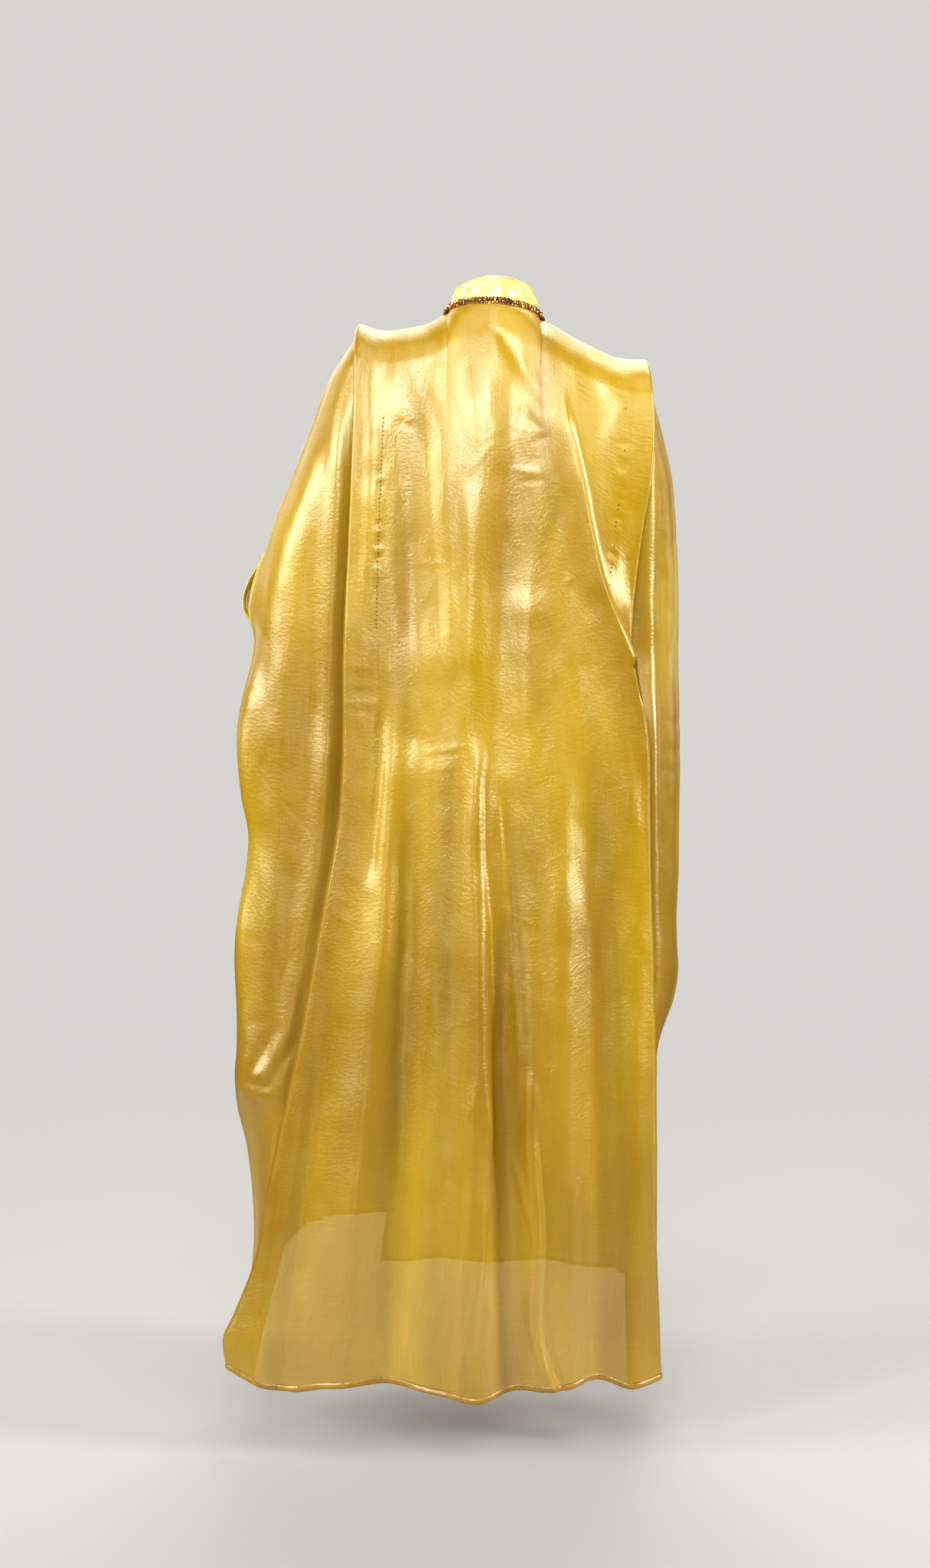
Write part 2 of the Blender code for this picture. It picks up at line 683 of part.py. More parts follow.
def add_cuff(name, is_left, collection):
    """A narrow band round the cuff opening, just inside its edge."""
    first, last = cuff_rows(is_left)
    left, right = CUFF_COLUMNS
    corners = [(c, first) for c in range(left, right)]
    corners += [(right, r) for r in range(first, last)]
    corners += [(c, last) for c in range(right, left, -1)]
    corners += [(left, r) for r in range(last, first, -1)]
    middle = ((left + right) / 2, (first + last) / 2)

    def band_place(step, row):
        column, line = corners[step % len(corners)]
        point = sleeve_place(column, row_share(line, SLEEVE_ROWS), is_left)
        wide = (sleeve_place(left, row_share(middle[1], SLEEVE_ROWS), is_left)
                - sleeve_place(right, row_share(middle[1], SLEEVE_ROWS), is_left)).length / (right - left)
        tall = (sleeve_place(left, row_share(first, SLEEVE_ROWS), is_left)
                - sleeve_place(left, row_share(last, SLEEVE_ROWS), is_left)).length / (last - first)
        inset = CUFF_GAP + row * CUFF_BAND
        toward_c = (middle[0] > column) - (middle[0] < column)
        toward_r = (middle[1] > line) - (middle[1] < line)
        on_side = column in (left, right)
        on_end = line in (first, last)
        new_c = column + (toward_c * inset / wide if on_side else 0)
        new_r = line + (toward_r * inset / tall if on_end else 0)
        return sleeve_place(new_c, row_share(new_r, SLEEVE_ROWS), is_left)

    mesh = grid_mesh(name, len(corners), 1, band_place)
    close_ring(mesh)
    cloth(name, mesh, WALL, PALE_GOLD, collection)


def close_ring(mesh):
    """Join the first and last columns of a grid that lie on each other."""
    shape = bmesh.new()
    shape.from_mesh(mesh)
    bmesh.ops.remove_doubles(shape, verts=shape.verts, dist=0.00001)
    shape.to_mesh(mesh)
    shape.free()


def add_trim(collection):
    """The trim: a closed roll with flat ends."""
    mesh = grid_mesh("neck_trim", COLLAR_STEPS, TRIM_SIDES, trim_place)
    close_ring(mesh)
    shape = bmesh.new()
    shape.from_mesh(mesh)
    bmesh.ops.holes_fill(shape, edges=[e for e in shape.edges if e.is_boundary], sides=TRIM_SIDES)
    bmesh.ops.recalc_face_normals(shape, faces=shape.faces)
    shape.to_mesh(mesh)
    shape.free()
    cloth("neck_trim", mesh, 0.0, AMBER, collection)


def build():
    for item in list(bpy.data.objects):
        bpy.data.objects.remove(item)
    kaftan = bpy.data.collections.new("kaftan")
    bpy.context.scene.collection.children.link(kaftan)
    add_panel("back", BACK_LAST, BACK_ROWS, back_place, kaftan)
    for side, is_left in (("left", True), ("right", False)):
        add_panel(
            f"front_{side}",
            FRONT_LAST,
            FRONT_ROWS,
            lambda c, share, left=is_left: front_place(c, share, left),
            kaftan,
        )
        first, last = cuff_rows(is_left)
        add_panel(
            f"sleeve_{side}",
            SLEEVE_LAST,
            SLEEVE_ROWS,
            lambda c, share, left=is_left: sleeve_place(c, share, left),
            kaftan,
            lambda c, r: CUFF_COLUMNS[0] <= c < CUFF_COLUMNS[1] and first <= r < last,
        )
        add_cuff(f"cuff_{side}", is_left, kaftan)
    collar = grid_mesh("collar", COLLAR_STEPS, COLLAR_ROWS, collar_place)
    cloth("collar", collar, WALL, PALE_GOLD, kaftan)
    add_trim(kaftan)


build()
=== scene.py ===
"""The looks of a long sheer gold kaftan: satin organza panels, rolled hems, sewn tucks and a beaded neck.

Metres, in the frame's own axes: the front of the garment faces -Y and the wearer's left is +X.
"""

import math

import bpy
import numpy as np
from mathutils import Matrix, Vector


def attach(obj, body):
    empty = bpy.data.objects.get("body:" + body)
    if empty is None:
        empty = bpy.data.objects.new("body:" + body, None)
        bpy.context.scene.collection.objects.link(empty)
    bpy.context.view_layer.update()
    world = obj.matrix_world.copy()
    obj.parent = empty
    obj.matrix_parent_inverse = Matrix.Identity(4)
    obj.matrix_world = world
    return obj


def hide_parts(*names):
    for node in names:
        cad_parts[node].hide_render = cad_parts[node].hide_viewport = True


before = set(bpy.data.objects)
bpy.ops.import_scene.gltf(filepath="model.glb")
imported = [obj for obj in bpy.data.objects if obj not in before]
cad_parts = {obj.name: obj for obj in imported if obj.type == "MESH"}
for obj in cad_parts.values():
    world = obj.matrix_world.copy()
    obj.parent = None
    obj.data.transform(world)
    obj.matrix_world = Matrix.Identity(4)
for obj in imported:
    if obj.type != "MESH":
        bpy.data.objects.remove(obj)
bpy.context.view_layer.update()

# Camera and studio, as in the photograph
CAMERA_PLACE = (0.0445, 3.87, -0.15)
CAMERA_PITCH = 7.9
LENS = 61.73
SENSOR = 36.0
FLOOR = -1.63
FLOOR_REACH = 2.6
FLOOR_FADE = (1.00, 2.30)
EXPOSURE = -0.27

# Cloth and seams
WALL = 0.0014
SEAM = 0.0005
HEM_HEIGHT = 0.009
HEM_GAP = 0.0009
HEM_LEVEL = -1.53
FACE_BOW = 2.2
FACE_REACH = 1.1
FOLD_CRISP = 0.62
BACK_BEND = 0.05
FRONT_BEND = 0.075
SEAM_LAP = 0.012
SLEEVE_START = 0.030
SLEEVE_INSET = 0.007
SLEEVE_BEND = 0.012
FLAT_LEAST = 0.004
SLEEVE_ROUNDNESS = 0.9

# Neck ring, collar and trim
NECK_CENTRE = 0.0035
NECK_HALF_WIDTH = 0.0645
NECK_BACK = 0.055
NECK_FRONT = 0.062
NECK_SIDE_DROP = 0.018
NECK_FRONT_DROP = 0.023
NECK_TILT = 0.004
NECK_OPENING = 0.012
COLLAR_LEAN = 0.22
COLLAR_BACK = 0.036
COLLAR_FRONT = 0.034
COLLAR_LEFT_DIP = 0.010
COLLAR_EDGE_HEIGHT = 0.0018
COLLAR_EDGE_THICK = 0.0009
COLLAR_EDGE_SEAT = 0.0008

# Waves of the collar: rise, number round it, lean over its height, start, how soon they fade to its edges
COLLAR_WAVES = (
    (0.0022, 5, 3.4, 0.6, 1),
    (0.0012, 11, -5.0, 0.0, 2),
)

# Crumple of the collar: rise, cells round it, lean over its height, cells up it
COLLAR_CRUMPLE = (0.0006, 6, 4, 3)

# The shoulder line from the left tip to the right one: distance from the centre, height
SHOULDER_LINE = (
    (0.200, -0.034),
    (0.194, -0.028),
    (0.167, -0.036),
    (0.151, -0.037),
    (0.123, -0.033),
    (0.096, -0.027),
    (0.068, -0.014),
    (-0.061, -0.022),
    (-0.077, -0.028),
    (-0.106, -0.045),
    (-0.136, -0.060),
    (-0.170, -0.075),
    (-0.216, -0.078),
)

# Depth of the back, positive backwards: height, at the middle, at the fold edges
BACK_PROFILE = (
    (0.00, 0.080, 0.062),
    (-0.08, 0.104, 0.086),
    (-0.18, 0.122, 0.104),
    (-0.40, 0.130, 0.112),
    (-0.70, 0.146, 0.117),
    (-1.00, 0.168, 0.122),
    (-1.30, 0.190, 0.128),
    (-1.55, 0.206, 0.132),
)

# Depth of the fronts, positive forwards: height, at the middle, at the fold edges
FRONT_PROFILE = (
    (0.00, 0.070, 0.060),
    (-0.08, 0.086, 0.074),
    (-0.18, 0.112, 0.094),
    (-0.30, 0.126, 0.102),
    (-0.55, 0.124, 0.102),
    (-0.90, 0.140, 0.108),
    (-1.20, 0.156, 0.114),
    (-1.55, 0.172, 0.120),
)

# Left fold of the back: height, fold edge, sewn line of the tuck, space between its layers
BACK_LEFT_FOLD = (
    (-0.034, 0.200, 0.153, 0.0058),
    (-0.114, 0.200, 0.156, 0.0060),
    (-0.330, 0.208, 0.165, 0.0070),
    (-0.500, 0.217, 0.170, 0.0100),
    (-0.610, 0.218, 0.173, 0.0120),
    (-0.730, 0.226, 0.184, 0.0120),
    (-0.840, 0.246, 0.205, 0.0120),
    (-1.050, 0.285, 0.247, 0.0120),
    (-1.250, 0.328, 0.287, 0.0120),
    (-1.370, 0.351, 0.311, 0.0115),
    (-1.440, 0.378, 0.329, 0.0110),
    (-1.485, 0.396, 0.340, 0.0110),
    (-1.530, 0.390, 0.348, 0.0110),
)

# Right fold of the back: height, fold edge, sewn line of the tuck, space between its layers
BACK_RIGHT_FOLD = (
    (-0.078, -0.214, -0.178, 0.0058),
    (-0.180, -0.220, -0.178, 0.0060),
    (-0.247, -0.216, -0.173, 0.0062),
    (-0.308, -0.206, -0.166, 0.0064),
    (-0.403, -0.195, -0.157, 0.0070),
    (-0.500, -0.190, -0.155, 0.0080),
    (-0.640, -0.188, -0.159, 0.0090),
    (-1.000, -0.198, -0.172, 0.0100),
    (-1.550, -0.214, -0.190, 0.0100),
)

# The slanting ridge that becomes the right edge of the back: height, across, how far the gore lies behind it
BACK_RIDGE = (
    (-0.090, -0.086, 0.000),
    (-0.146, -0.094, 0.001),
    (-0.219, -0.111, 0.005),
    (-0.309, -0.129, 0.011),
    (-0.385, -0.146, 0.016),
    (-0.453, -0.172, 0.020),
    (-0.516, -0.193, 0.020),
    (-0.574, -0.209, 0.017),
    (-0.640, -0.217, 0.012),
    (-0.733, -0.218, 0.010),
    (-1.044, -0.227, 0.010),
    (-1.330, -0.233, 0.010),
    (-1.550, -0.242, 0.010),
)
RIDGE_TAKES_OVER = (-0.48, -0.60)

# Front folds: height, left fold edge, right fold edge, tuck depth, space between the layers
FRONT_FOLDS = (
    (-0.034, 0.199, -0.213, 0.042, 0.0058),
    (-0.330, 0.196, -0.204, 0.042, 0.0065),
    (-0.600, 0.204, -0.198, 0.036, 0.0090),
    (-0.900, 0.232, -0.202, 0.032, 0.0100),
    (-1.200, 0.270, -0.210, 0.030, 0.0100),
    (-1.450, 0.300, -0.218, 0.030, 0.0100),
)

# Free edge of the right front, and how far the left front runs behind it: height, across, overlap, space
FRONT_EDGE = (
    (-0.050, 0.0035, 0.000, 0.0000),
    (-0.080, 0.0045, 0.000, 0.0040),
    (-0.250, 0.018, 0.020, 0.0070),
    (-0.700, 0.060, 0.022, 0.0100),
    (-1.100, 0.125, 0.022, 0.0100),
    (-1.450, 0.176, 0.020, 0.0100),
)

# Outer edge of each sleeve and of the side below it: height, across, depth, swell behind, swell in front
LEFT_SLEEVE = (
    (-0.050, 0.201, 0.000, 0.000, 0.000),
    (-0.102, 0.234, 0.000, 0.000, 0.000),
    (-0.164, 0.258, 0.002, 0.004, 0.004),
    (-0.237, 0.285, 0.006, 0.008, 0.006),
    (-0.345, 0.326, 0.012, 0.006, 0.004),
    (-0.488, 0.347, 0.018, 0.000, -0.004),
    (-0.617, 0.373, 0.022, -0.006, -0.012),
    (-0.700, 0.367, 0.024, -0.007, -0.014),
    (-0.760, 0.358, 0.026, -0.008, -0.016),
    (-0.899, 0.376, 0.030, -0.008, -0.018),
    (-1.060, 0.377, 0.032, 0.000, -0.016),
    (-1.115, 0.381, 0.028, 0.004, -0.014),
    (-1.165, 0.377, 0.006, -0.022, -0.012),
    (-1.230, 0.363, -0.008, -0.028, -0.010),
    (-1.360, 0.354, -0.008, -0.020, -0.006),
    (-1.450, 0.362, -0.006, -0.010, 0.000),
    (-1.540, 0.370, -0.006, -0.008, 0.000),
)
RIGHT_SLEEVE = (
    (-0.094, -0.210, -0.002, 0.000, 0.000),
    (-0.180, -0.232, -0.008, 0.000, 0.000),
    (-0.251, -0.248, -0.014, 0.002, 0.002),
    (-0.350, -0.255, -0.020, 0.002, 0.002),
    (-0.490, -0.259, -0.022, 0.000, 0.000),
    (-0.610, -0.262, -0.020, 0.000, -0.002),
    (-0.875, -0.264, -0.018, 0.000, -0.004),
    (-0.950, -0.266, -0.018, 0.000, -0.006),
    (-1.000, -0.259, -0.022, -0.004, -0.006),
    (-1.067, -0.237, -0.024, -0.008, -0.006),
    (-1.300, -0.226, -0.022, -0.008, -0.004),
    (-1.540, -0.230, -0.020, -0.006, 0.000),
)

# Hem of the back: distance from the centre, height
BACK_HEM = (
    (0.385, -1.526),
    (0.335, -1.546),
    (0.300, -1.548),
    (0.240, -1.530),
    (0.152, -1.524),
    (0.080, -1.537),
    (0.027, -1.545),
    (-0.050, -1.532),
    (-0.100, -1.535),
    (-0.140, -1.530),
    (-0.200, -1.545),
    (-0.242, -1.540),
)
LEFT_FRONT_HEM = -1.376
RIGHT_FRONT_HEM = -1.458

# Largest soft folds of the back and fronts, as ridges and troughs along a line:
# top height, top across, bottom height, bottom across, half width at the top and bottom, rise
BACK_FOLDS = (
    (-0.10, 0.060, -0.50, 0.075, 0.030, 0.040, 0.005),
    (-0.22, 0.125, -0.62, 0.112, 0.016, 0.026, -0.006),
    (-0.08, -0.012, -0.40, -0.040, 0.016, 0.030, -0.004),
    (-0.60, 0.148, -1.60, 0.226, 0.020, 0.034, 0.013),
    (-0.62, 0.112, -1.60, 0.160, 0.018, 0.030, -0.012),
    (-0.55, 0.024, -1.60, 0.030, 0.020, 0.034, 0.015),
    (-0.70, -0.006, -1.60, -0.018, 0.020, 0.024, -0.012),
    (-0.85, -0.040, -1.60, -0.074, 0.020, 0.026, 0.013),
    (-0.60, -0.086, -1.50, -0.112, 0.020, 0.026, 0.007),
    (-0.52, -0.135, -1.60, -0.152, 0.026, 0.030, -0.014),
    (-0.90, -0.190, -1.60, -0.196, 0.018, 0.026, 0.008),
    (-1.00, 0.240, -1.60, 0.310, 0.018, 0.028, -0.012),
)
FRONT_SOFT_FOLDS = (
    (-0.30, 0.110, -1.50, 0.190, 0.024, 0.034, 0.010),
    (-0.26, -0.090, -1.60, -0.080, 0.022, 0.034, 0.012),
    (-0.34, -0.020, -1.60, 0.020, 0.020, 0.034, -0.012),
    (-0.40, -0.140, -1.60, -0.150, 0.020, 0.030, -0.010),
    (-0.50, 0.030, -1.60, 0.095, 0.020, 0.032, 0.012),
)

# How the largest folds fade in and out, in shares of their length
FOLD_RUN_IN = 0.10
FOLD_FADE_IN = 0.50
FOLD_RUN_OUT = 0.10
FOLD_FADE_OUT = 0.15

# Cuff openings, on the front of each sleeve's outer edge: middle height, half height, how far the lip
# stands out, and the height at which it stands out most
LEFT_CUFF = (-0.450, 0.115, 0.045, -0.428)
RIGHT_CUFF = (-0.455, 0.105, 0.012, -0.450)
CUFF_BAND = 0.008
CUFF_TAPER = 0.60
CUFF_DRAW_REACH = 3.0
CUFF_DRAW_FADE = 2.0
CUFF_COLUMNS = (9, 12)
LIP_ABOVE = 0.070
LIP_BELOW = 0.034
LIP_TURN = 0.66 * math.pi
LIP_SPREAD = 0.45

# How far down the columns of a panel take to spread evenly, from below the neckline
EVEN_BACK = (0.06, 0.30)
EVEN_FRONT = (0.08, 0.30)

# Where the under layer of the left front steps behind the right one, in shares of its width
RECESS_FROM = 0.35
RECESS_OVER = 0.40

# How the construction spaces its columns, which the finer columns here follow
SHOULDER_COLUMNS = 8
NECK_COLUMNS = 10
RIDGE_COLUMNS = 4
SLEEVE_STEPS = 16
SLEEVE_LAST = SLEEVE_STEPS + 2
SLEEVE_ROWS = 27
ROW_CROWDING = 1.25

# Fine columns and rows of each piece
FACE_COLUMNS = 160
GORE_STEPS = 26
EDGE_STEPS = 9
RIDGE_CROWDING = 0.6
BACK_ROWS_HIGH = 170
BACK_ROWS_LOW = 270
BACK_HIGH_SHARE = 0.30
FRONT_FACE_COLUMNS = 90
FRONT_ROWS_FINE = 240
SLEEVE_FINER_ROWS = 9
SLEEVE_FINER_COLUMNS = 6
COLLAR_COLUMNS = 160
COLLAR_ROWS = 24
NECK_FINE = 721
TURN_PLACES = 4

# How soon a sleeve's folds fade as it turns from one face to the next, and how calm its outer side is
FACE_TURN = 0.35
SIDE_TURN = 0.8
SIDE_UNDULATION = 0.3

# Finer folds of the back: rise, width towards the wearer's left, width towards the right, fade at the ends,
# then the line it follows from the top down as (height, across)
BACK_LINES = (
    (0.0045, 0.030, 0.030, 0.14, ((-0.09, 0.014), (-0.20, 0.014), (-0.34, 0.026), (-0.52, 0.034))),
    (-0.0100, 0.044, 0.015, 0.14, ((-0.14, 0.104), (-0.24, 0.098), (-0.34, 0.090), (-0.48, 0.080))),
    (0.0022, 0.010, 0.012, 0.06, ((-0.06, 0.172), (-0.20, 0.174), (-0.34, 0.178), (-0.52, 0.188))),
    (-0.0030, 0.008, 0.012, 0.03, ((-0.028, 0.018), (-0.045, -0.004), (-0.065, -0.014))),
    (-0.0030, 0.015, 0.020, 0.07, ((-0.055, -0.016), (-0.085, -0.034), (-0.115, -0.054), (-0.150, -0.074))),
    (0.0016, 0.020, 0.022, 0.07, ((-0.06, -0.064), (-0.13, -0.082), (-0.19, -0.094))),
    (-0.0014, 0.014, 0.014, 0.04, ((-0.150, -0.034), (-0.190, -0.062), (-0.225, -0.050))),
    (0.0040, 0.010, 0.026, 0.09, ((-0.28, 0.040), (-0.44, 0.038), (-0.60, 0.040), (-0.75, 0.030))),
    (-0.0030, 0.020, 0.016, 0.10, ((-0.24, -0.010), (-0.36, -0.006), (-0.52, 0.000), (-0.66, 0.010))),
    (0.0030, 0.014, 0.014, 0.08, ((-0.36, -0.046), (-0.50, -0.040), (-0.66, -0.044))),
    (-0.0060, 0.034, 0.018, 0.14,
     ((-0.22, -0.082), (-0.34, -0.094), (-0.46, -0.108), (-0.62, -0.120), (-0.80, -0.128))),
    (0.0030, 0.022, 0.007, 0.04, ((-0.13, -0.092), (-0.219, -0.107), (-0.309, -0.125), (-0.40, -0.146))),
    (-0.0040, 0.007, 0.009, 0.06, ((-0.56, 0.162), (-0.64, 0.163), (-0.72, 0.172), (-0.80, 0.180))),
    (0.0044, 0.010, 0.014, 0.10, ((-0.62, 0.150), (-0.72, 0.152), (-0.86, 0.160), (-1.00, 0.172))),
    (-0.0030, 0.016, 0.020, 0.12, ((-0.76, 0.132), (-0.90, 0.126), (-1.10, 0.128), (-1.40, 0.138))),
    (0.0030, 0.018, 0.018, 0.10, ((-0.62, 0.084), (-0.74, 0.078), (-0.90, 0.082), (-1.10, 0.080))),
    (0.0032, 0.008, 0.010, 0.06,
     ((-0.62, 0.022), (-0.76, 0.034), (-0.90, 0.026), (-1.07, 0.020), (-1.18, 0.006))),
    (-0.0046, 0.007, 0.008, 0.06,
     ((-0.66, 0.016), (-0.76, 0.014), (-0.88, 0.004), (-1.02, 0.000), (-1.20, -0.004))),
    (0.0022, 0.005, 0.005, 0.03, ((-0.69, 0.000), (-0.75, -0.004), (-0.80, -0.006), (-0.86, -0.012))),
    (0.0020, 0.004, 0.005, 0.03, ((-0.84, -0.016), (-0.91, -0.022), (-0.98, -0.028), (-1.06, -0.036))),
    (-0.0024, 0.006, 0.006, 0.06, ((-0.72, -0.012), (-0.86, -0.026), (-1.00, -0.036), (-1.14, -0.040))),
    (0.0026, 0.012, 0.014, 0.12, ((-0.80, -0.072), (-0.96, -0.080), (-1.12, -0.086), (-1.30, -0.084))),
    (0.0034, 0.012, 0.016, 0.10, ((-0.66, -0.186), (-0.80, -0.200), (-1.00, -0.202), (-1.30, -0.206))),
    (-0.0034, 0.016, 0.012, 0.12, ((-0.82, -0.160), (-1.00, -0.166), (-1.20, -0.172), (-1.50, -0.176))),
    (0.0042, 0.007, 0.009, 0.06, ((-1.10, 0.036), (-1.22, 0.034), (-1.36, 0.046), (-1.52, 0.052))),
    (0.0032, 0.007, 0.008, 0.05, ((-1.26, 0.022), (-1.33, 0.018), (-1.40, 0.032), (-1.50, 0.048))),
    (-0.0026, 0.006, 0.006, 0.05, ((-1.28, 0.010), (-1.38, 0.016), (-1.48, 0.026))),
    (0.0052, 0.007, 0.009, 0.05,
     ((-1.08, -0.046), (-1.20, -0.048), (-1.31, -0.058), (-1.42, -0.052), (-1.53, -0.078))),
    (-0.0044, 0.006, 0.008, 0.06, ((-1.14, -0.058), (-1.30, -0.070), (-1.44, -0.068), (-1.53, -0.090))),
    (0.0020, 0.005, 0.006, 0.03, ((-1.20, -0.022), (-1.26, -0.040), (-1.32, -0.056))),
    (0.0024, 0.012, 0.014, 0.08, ((-1.20, 0.196), (-1.32, 0.210), (-1.46, 0.222))),
    (-0.0026, 0.014, 0.014, 0.08, ((-1.24, 0.156), (-1.38, 0.148), (-1.50, 0.136))),
    (0.0022, 0.009, 0.009, 0.05, ((-1.36, 0.116), (-1.44, 0.124), (-1.52, 0.146))),
    (0.0026, 0.010, 0.012, 0.06, ((-1.30, 0.330), (-1.40, 0.338), (-1.50, 0.336))),
)

# Small creases of the back: across, height, lean in degrees, length, width, rise in millimetres
BACK_CREASES = (
    (0.024, -0.215, -50, 0.050, 0.0045, 0.54),
    (-0.048, -0.176, 12, 0.034, 0.0045, 0.54),
    (-0.058, -0.190, -20, 0.030, 0.0045, -0.54),
    (-0.040, -0.232, 8, 0.036, 0.0050, 0.63),
    (-0.050, -0.246, -6, 0.036, 0.0045, -0.54),
    (0.186, -0.075, 52, 0.030, 0.0045, 0.45),
    (0.176, -0.086, 60, 0.026, 0.0045, -0.45),
    (0.118, -0.120, -30, 0.030, 0.0050, 0.54),
    (0.128, -0.168, 18, 0.030, 0.0060, -0.63),
    (0.195, -0.505, 4, 0.040, 0.0045, 0.45),
    (0.192, -0.530, 3, 0.044, 0.0045, 0.50),
    (0.193, -0.556, -2, 0.046, 0.0045, 0.54),
    (0.190, -0.568, 0, 0.044, 0.0045, -0.45),
    (0.072, -0.620, -9, 0.060, 0.0045, 0.54),
    (0.070, -0.626, -9, 0.060, 0.0045, -0.45),
    (0.076, -0.646, -10, 0.040, 0.0045, 0.36),
    (0.094, -0.360, 0, 0.040, 0.0045, 0.32),
    (-0.060, -0.410, -42, 0.020, 0.0045, 0.36),
    (-0.105, -0.380, -48, 0.026, 0.0045, 0.45),
    (-0.170, -0.360, -18, 0.030, 0.0050, -0.54),
    (-0.172, -0.418, 24, 0.034, 0.0055, 0.63),
    (0.076, -0.962, 14, 0.050, 0.0045, 0.27),
    (-0.030, -0.962, 0, 0.050, 0.0045, 0.23),
    (-0.180, -0.960, 2, 0.040, 0.0045, 0.23),
    (-0.040, -0.860, 24, 0.040, 0.0045, 0.32),
    (0.206, -0.800, 20, 0.020, 0.0045, 0.41),
    (0.214, -0.836, 24, 0.026, 0.0045, 0.45),
    (0.220, -0.860, 28, 0.026, 0.0045, 0.45),
    (0.066, -1.240, 0, 0.040, 0.0045, 0.27),
    (-0.218, -1.268, 10, 0.030, 0.0045, 0.54),
    (-0.222, -1.300, 16, 0.030, 0.0045, 0.63),
    (-0.224, -1.330, 12, 0.028, 0.0045, 0.63),
    (-0.226, -1.362, 14, 0.026, 0.0045, 0.54),
    (0.130, -1.470, 30, 0.070, 0.0050, 0.54),
    (0.160, -1.500, 24, 0.060, 0.0050, -0.45),
    (0.112, -1.490, -46, 0.050, 0.0050, 0.54),
    (-0.070, -1.500, 60, 0.050, 0.0045, 0.63),
    (-0.108, -1.505, -30, 0.050, 0.0050, 0.45),
    (0.020, -1.520, 40, 0.040, 0.0045, 0.45),
    (0.300, -1.500, 20, 0.060, 0.0060, 0.54),
)

# Folds of each face of the sleeves, with the columns of BACK_LINES
LEFT_SLEEVE_BEHIND = (
    (0.0024, 0.022, 0.016, 0.10, ((-0.14, 0.236), (-0.28, 0.252), (-0.44, 0.262), (-0.60, 0.258))),
    (-0.0090, 0.020, 0.014, 0.16, ((-0.16, 0.220), (-0.36, 0.226), (-0.52, 0.232), (-0.70, 0.240))),
    (0.0020, 0.010, 0.024, 0.08, ((-0.18, 0.262), (-0.30, 0.298), (-0.37, 0.318))),
    (-0.0030, 0.022, 0.018, 0.12, ((-0.42, 0.290), (-0.58, 0.306), (-0.74, 0.312), (-0.90, 0.322))),
    (0.0034, 0.020, 0.022, 0.12, ((-0.58, 0.262), (-0.74, 0.276), (-0.90, 0.296), (-1.06, 0.330))),
    (-0.0044, 0.018, 0.014, 0.12, ((-0.62, 0.236), (-0.78, 0.252), (-0.94, 0.282), (-1.10, 0.314))),
    (0.0030, 0.014, 0.020, 0.08, ((-0.84, 0.352), (-0.96, 0.350), (-1.08, 0.342))),
    (0.0034, 0.010, 0.012, 0.04, ((-1.03, 0.318), (-1.08, 0.346), (-1.11, 0.366))),
    (0.0030, 0.010, 0.010, 0.04, ((-1.18, 0.340), (-1.28, 0.336), (-1.40, 0.342))),
)
LEFT_SLEEVE_FRONT = (
    (0.0060, 0.018, 0.014, 0.10, ((-0.16, 0.232), (-0.34, 0.246), (-0.52, 0.262), (-0.70, 0.290))),
    (-0.0060, 0.016, 0.016, 0.10, ((-0.30, 0.222), (-0.50, 0.236), (-0.70, 0.262), (-0.90, 0.290))),
    (0.0060, 0.016, 0.020, 0.10, ((-0.56, 0.318), (-0.72, 0.322), (-0.90, 0.330), (-1.10, 0.342))),
    (-0.0050, 0.016, 0.014, 0.10, ((-0.60, 0.296), (-0.80, 0.306), (-1.00, 0.322), (-1.20, 0.336))),
)
RIGHT_SLEEVE_BEHIND = (
    (0.0030, 0.008, 0.010, 0.08, ((-0.22, -0.226), (-0.34, -0.232), (-0.46, -0.236))),
    (-0.0024, 0.008, 0.008, 0.10, ((-0.40, -0.216), (-0.60, -0.224), (-0.80, -0.228))),
    (0.0030, 0.009, 0.012, 0.10, ((-0.56, -0.236), (-0.72, -0.240), (-0.90, -0.244))),
)
RIGHT_SLEEVE_FRONT = (
    (0.0034, 0.010, 0.010, 0.10, ((-0.24, -0.226), (-0.40, -0.232), (-0.60, -0.234))),
    (-0.0030, 0.010, 0.010, 0.10, ((-0.50, -0.222), (-0.70, -0.228), (-0.90, -0.230))),
)

# Small creases behind the sleeves, with the columns of BACK_CREASES
LEFT_SLEEVE_CREASES = (
    (0.294, -0.280, -34, 0.024, 0.0045, 0.60),
    (0.300, -0.290, -30, 0.022, 0.0045, -0.45),
    (0.328, -0.345, -40, 0.026, 0.0045, 0.60),
    (0.277, -0.212, -28, 0.026, 0.0045, 0.50),
    (0.262, -0.330, 62, 0.040, 0.0050, 0.40),
    (0.346, -0.560, 70, 0.050, 0.0050, 0.45),
    (0.330, -0.640, -66, 0.046, 0.0050, 0.40),
    (0.352, -0.905, 16, 0.030, 0.0050, 0.60),
    (0.345, -1.020, -24, 0.034, 0.0050, 0.60),
    (0.345, -1.112, 0, 0.044, 0.0090, 5.00),
    (0.308, -1.078, -60, 0.080, 0.0090, 4.00),
)
RIGHT_SLEEVE_CREASES = (
    (-0.238, -0.262, 58, 0.036, 0.0045, 0.80),
    (-0.246, -0.290, -52, 0.030, 0.0045, 0.80),
    (-0.240, -0.318, 50, 0.030, 0.0045, -0.80),
    (-0.248, -0.345, -60, 0.034, 0.0045, 0.80),
    (-0.242, -0.384, 64, 0.034, 0.0045, 0.70),
    (-0.250, -0.440, 72, 0.040, 0.0045, 0.60),
    (-0.252, -0.590, 38, 0.030, 0.0045, 0.90),
    (-0.250, -0.612, 34, 0.030, 0.0045, -0.80),
    (-0.252, -0.634, 36, 0.030, 0.0045, 0.90),
    (-0.250, -0.660, 30, 0.028, 0.0045, 0.70),
    (-0.248, -0.780, 70, 0.050, 0.0050, 0.50),
)

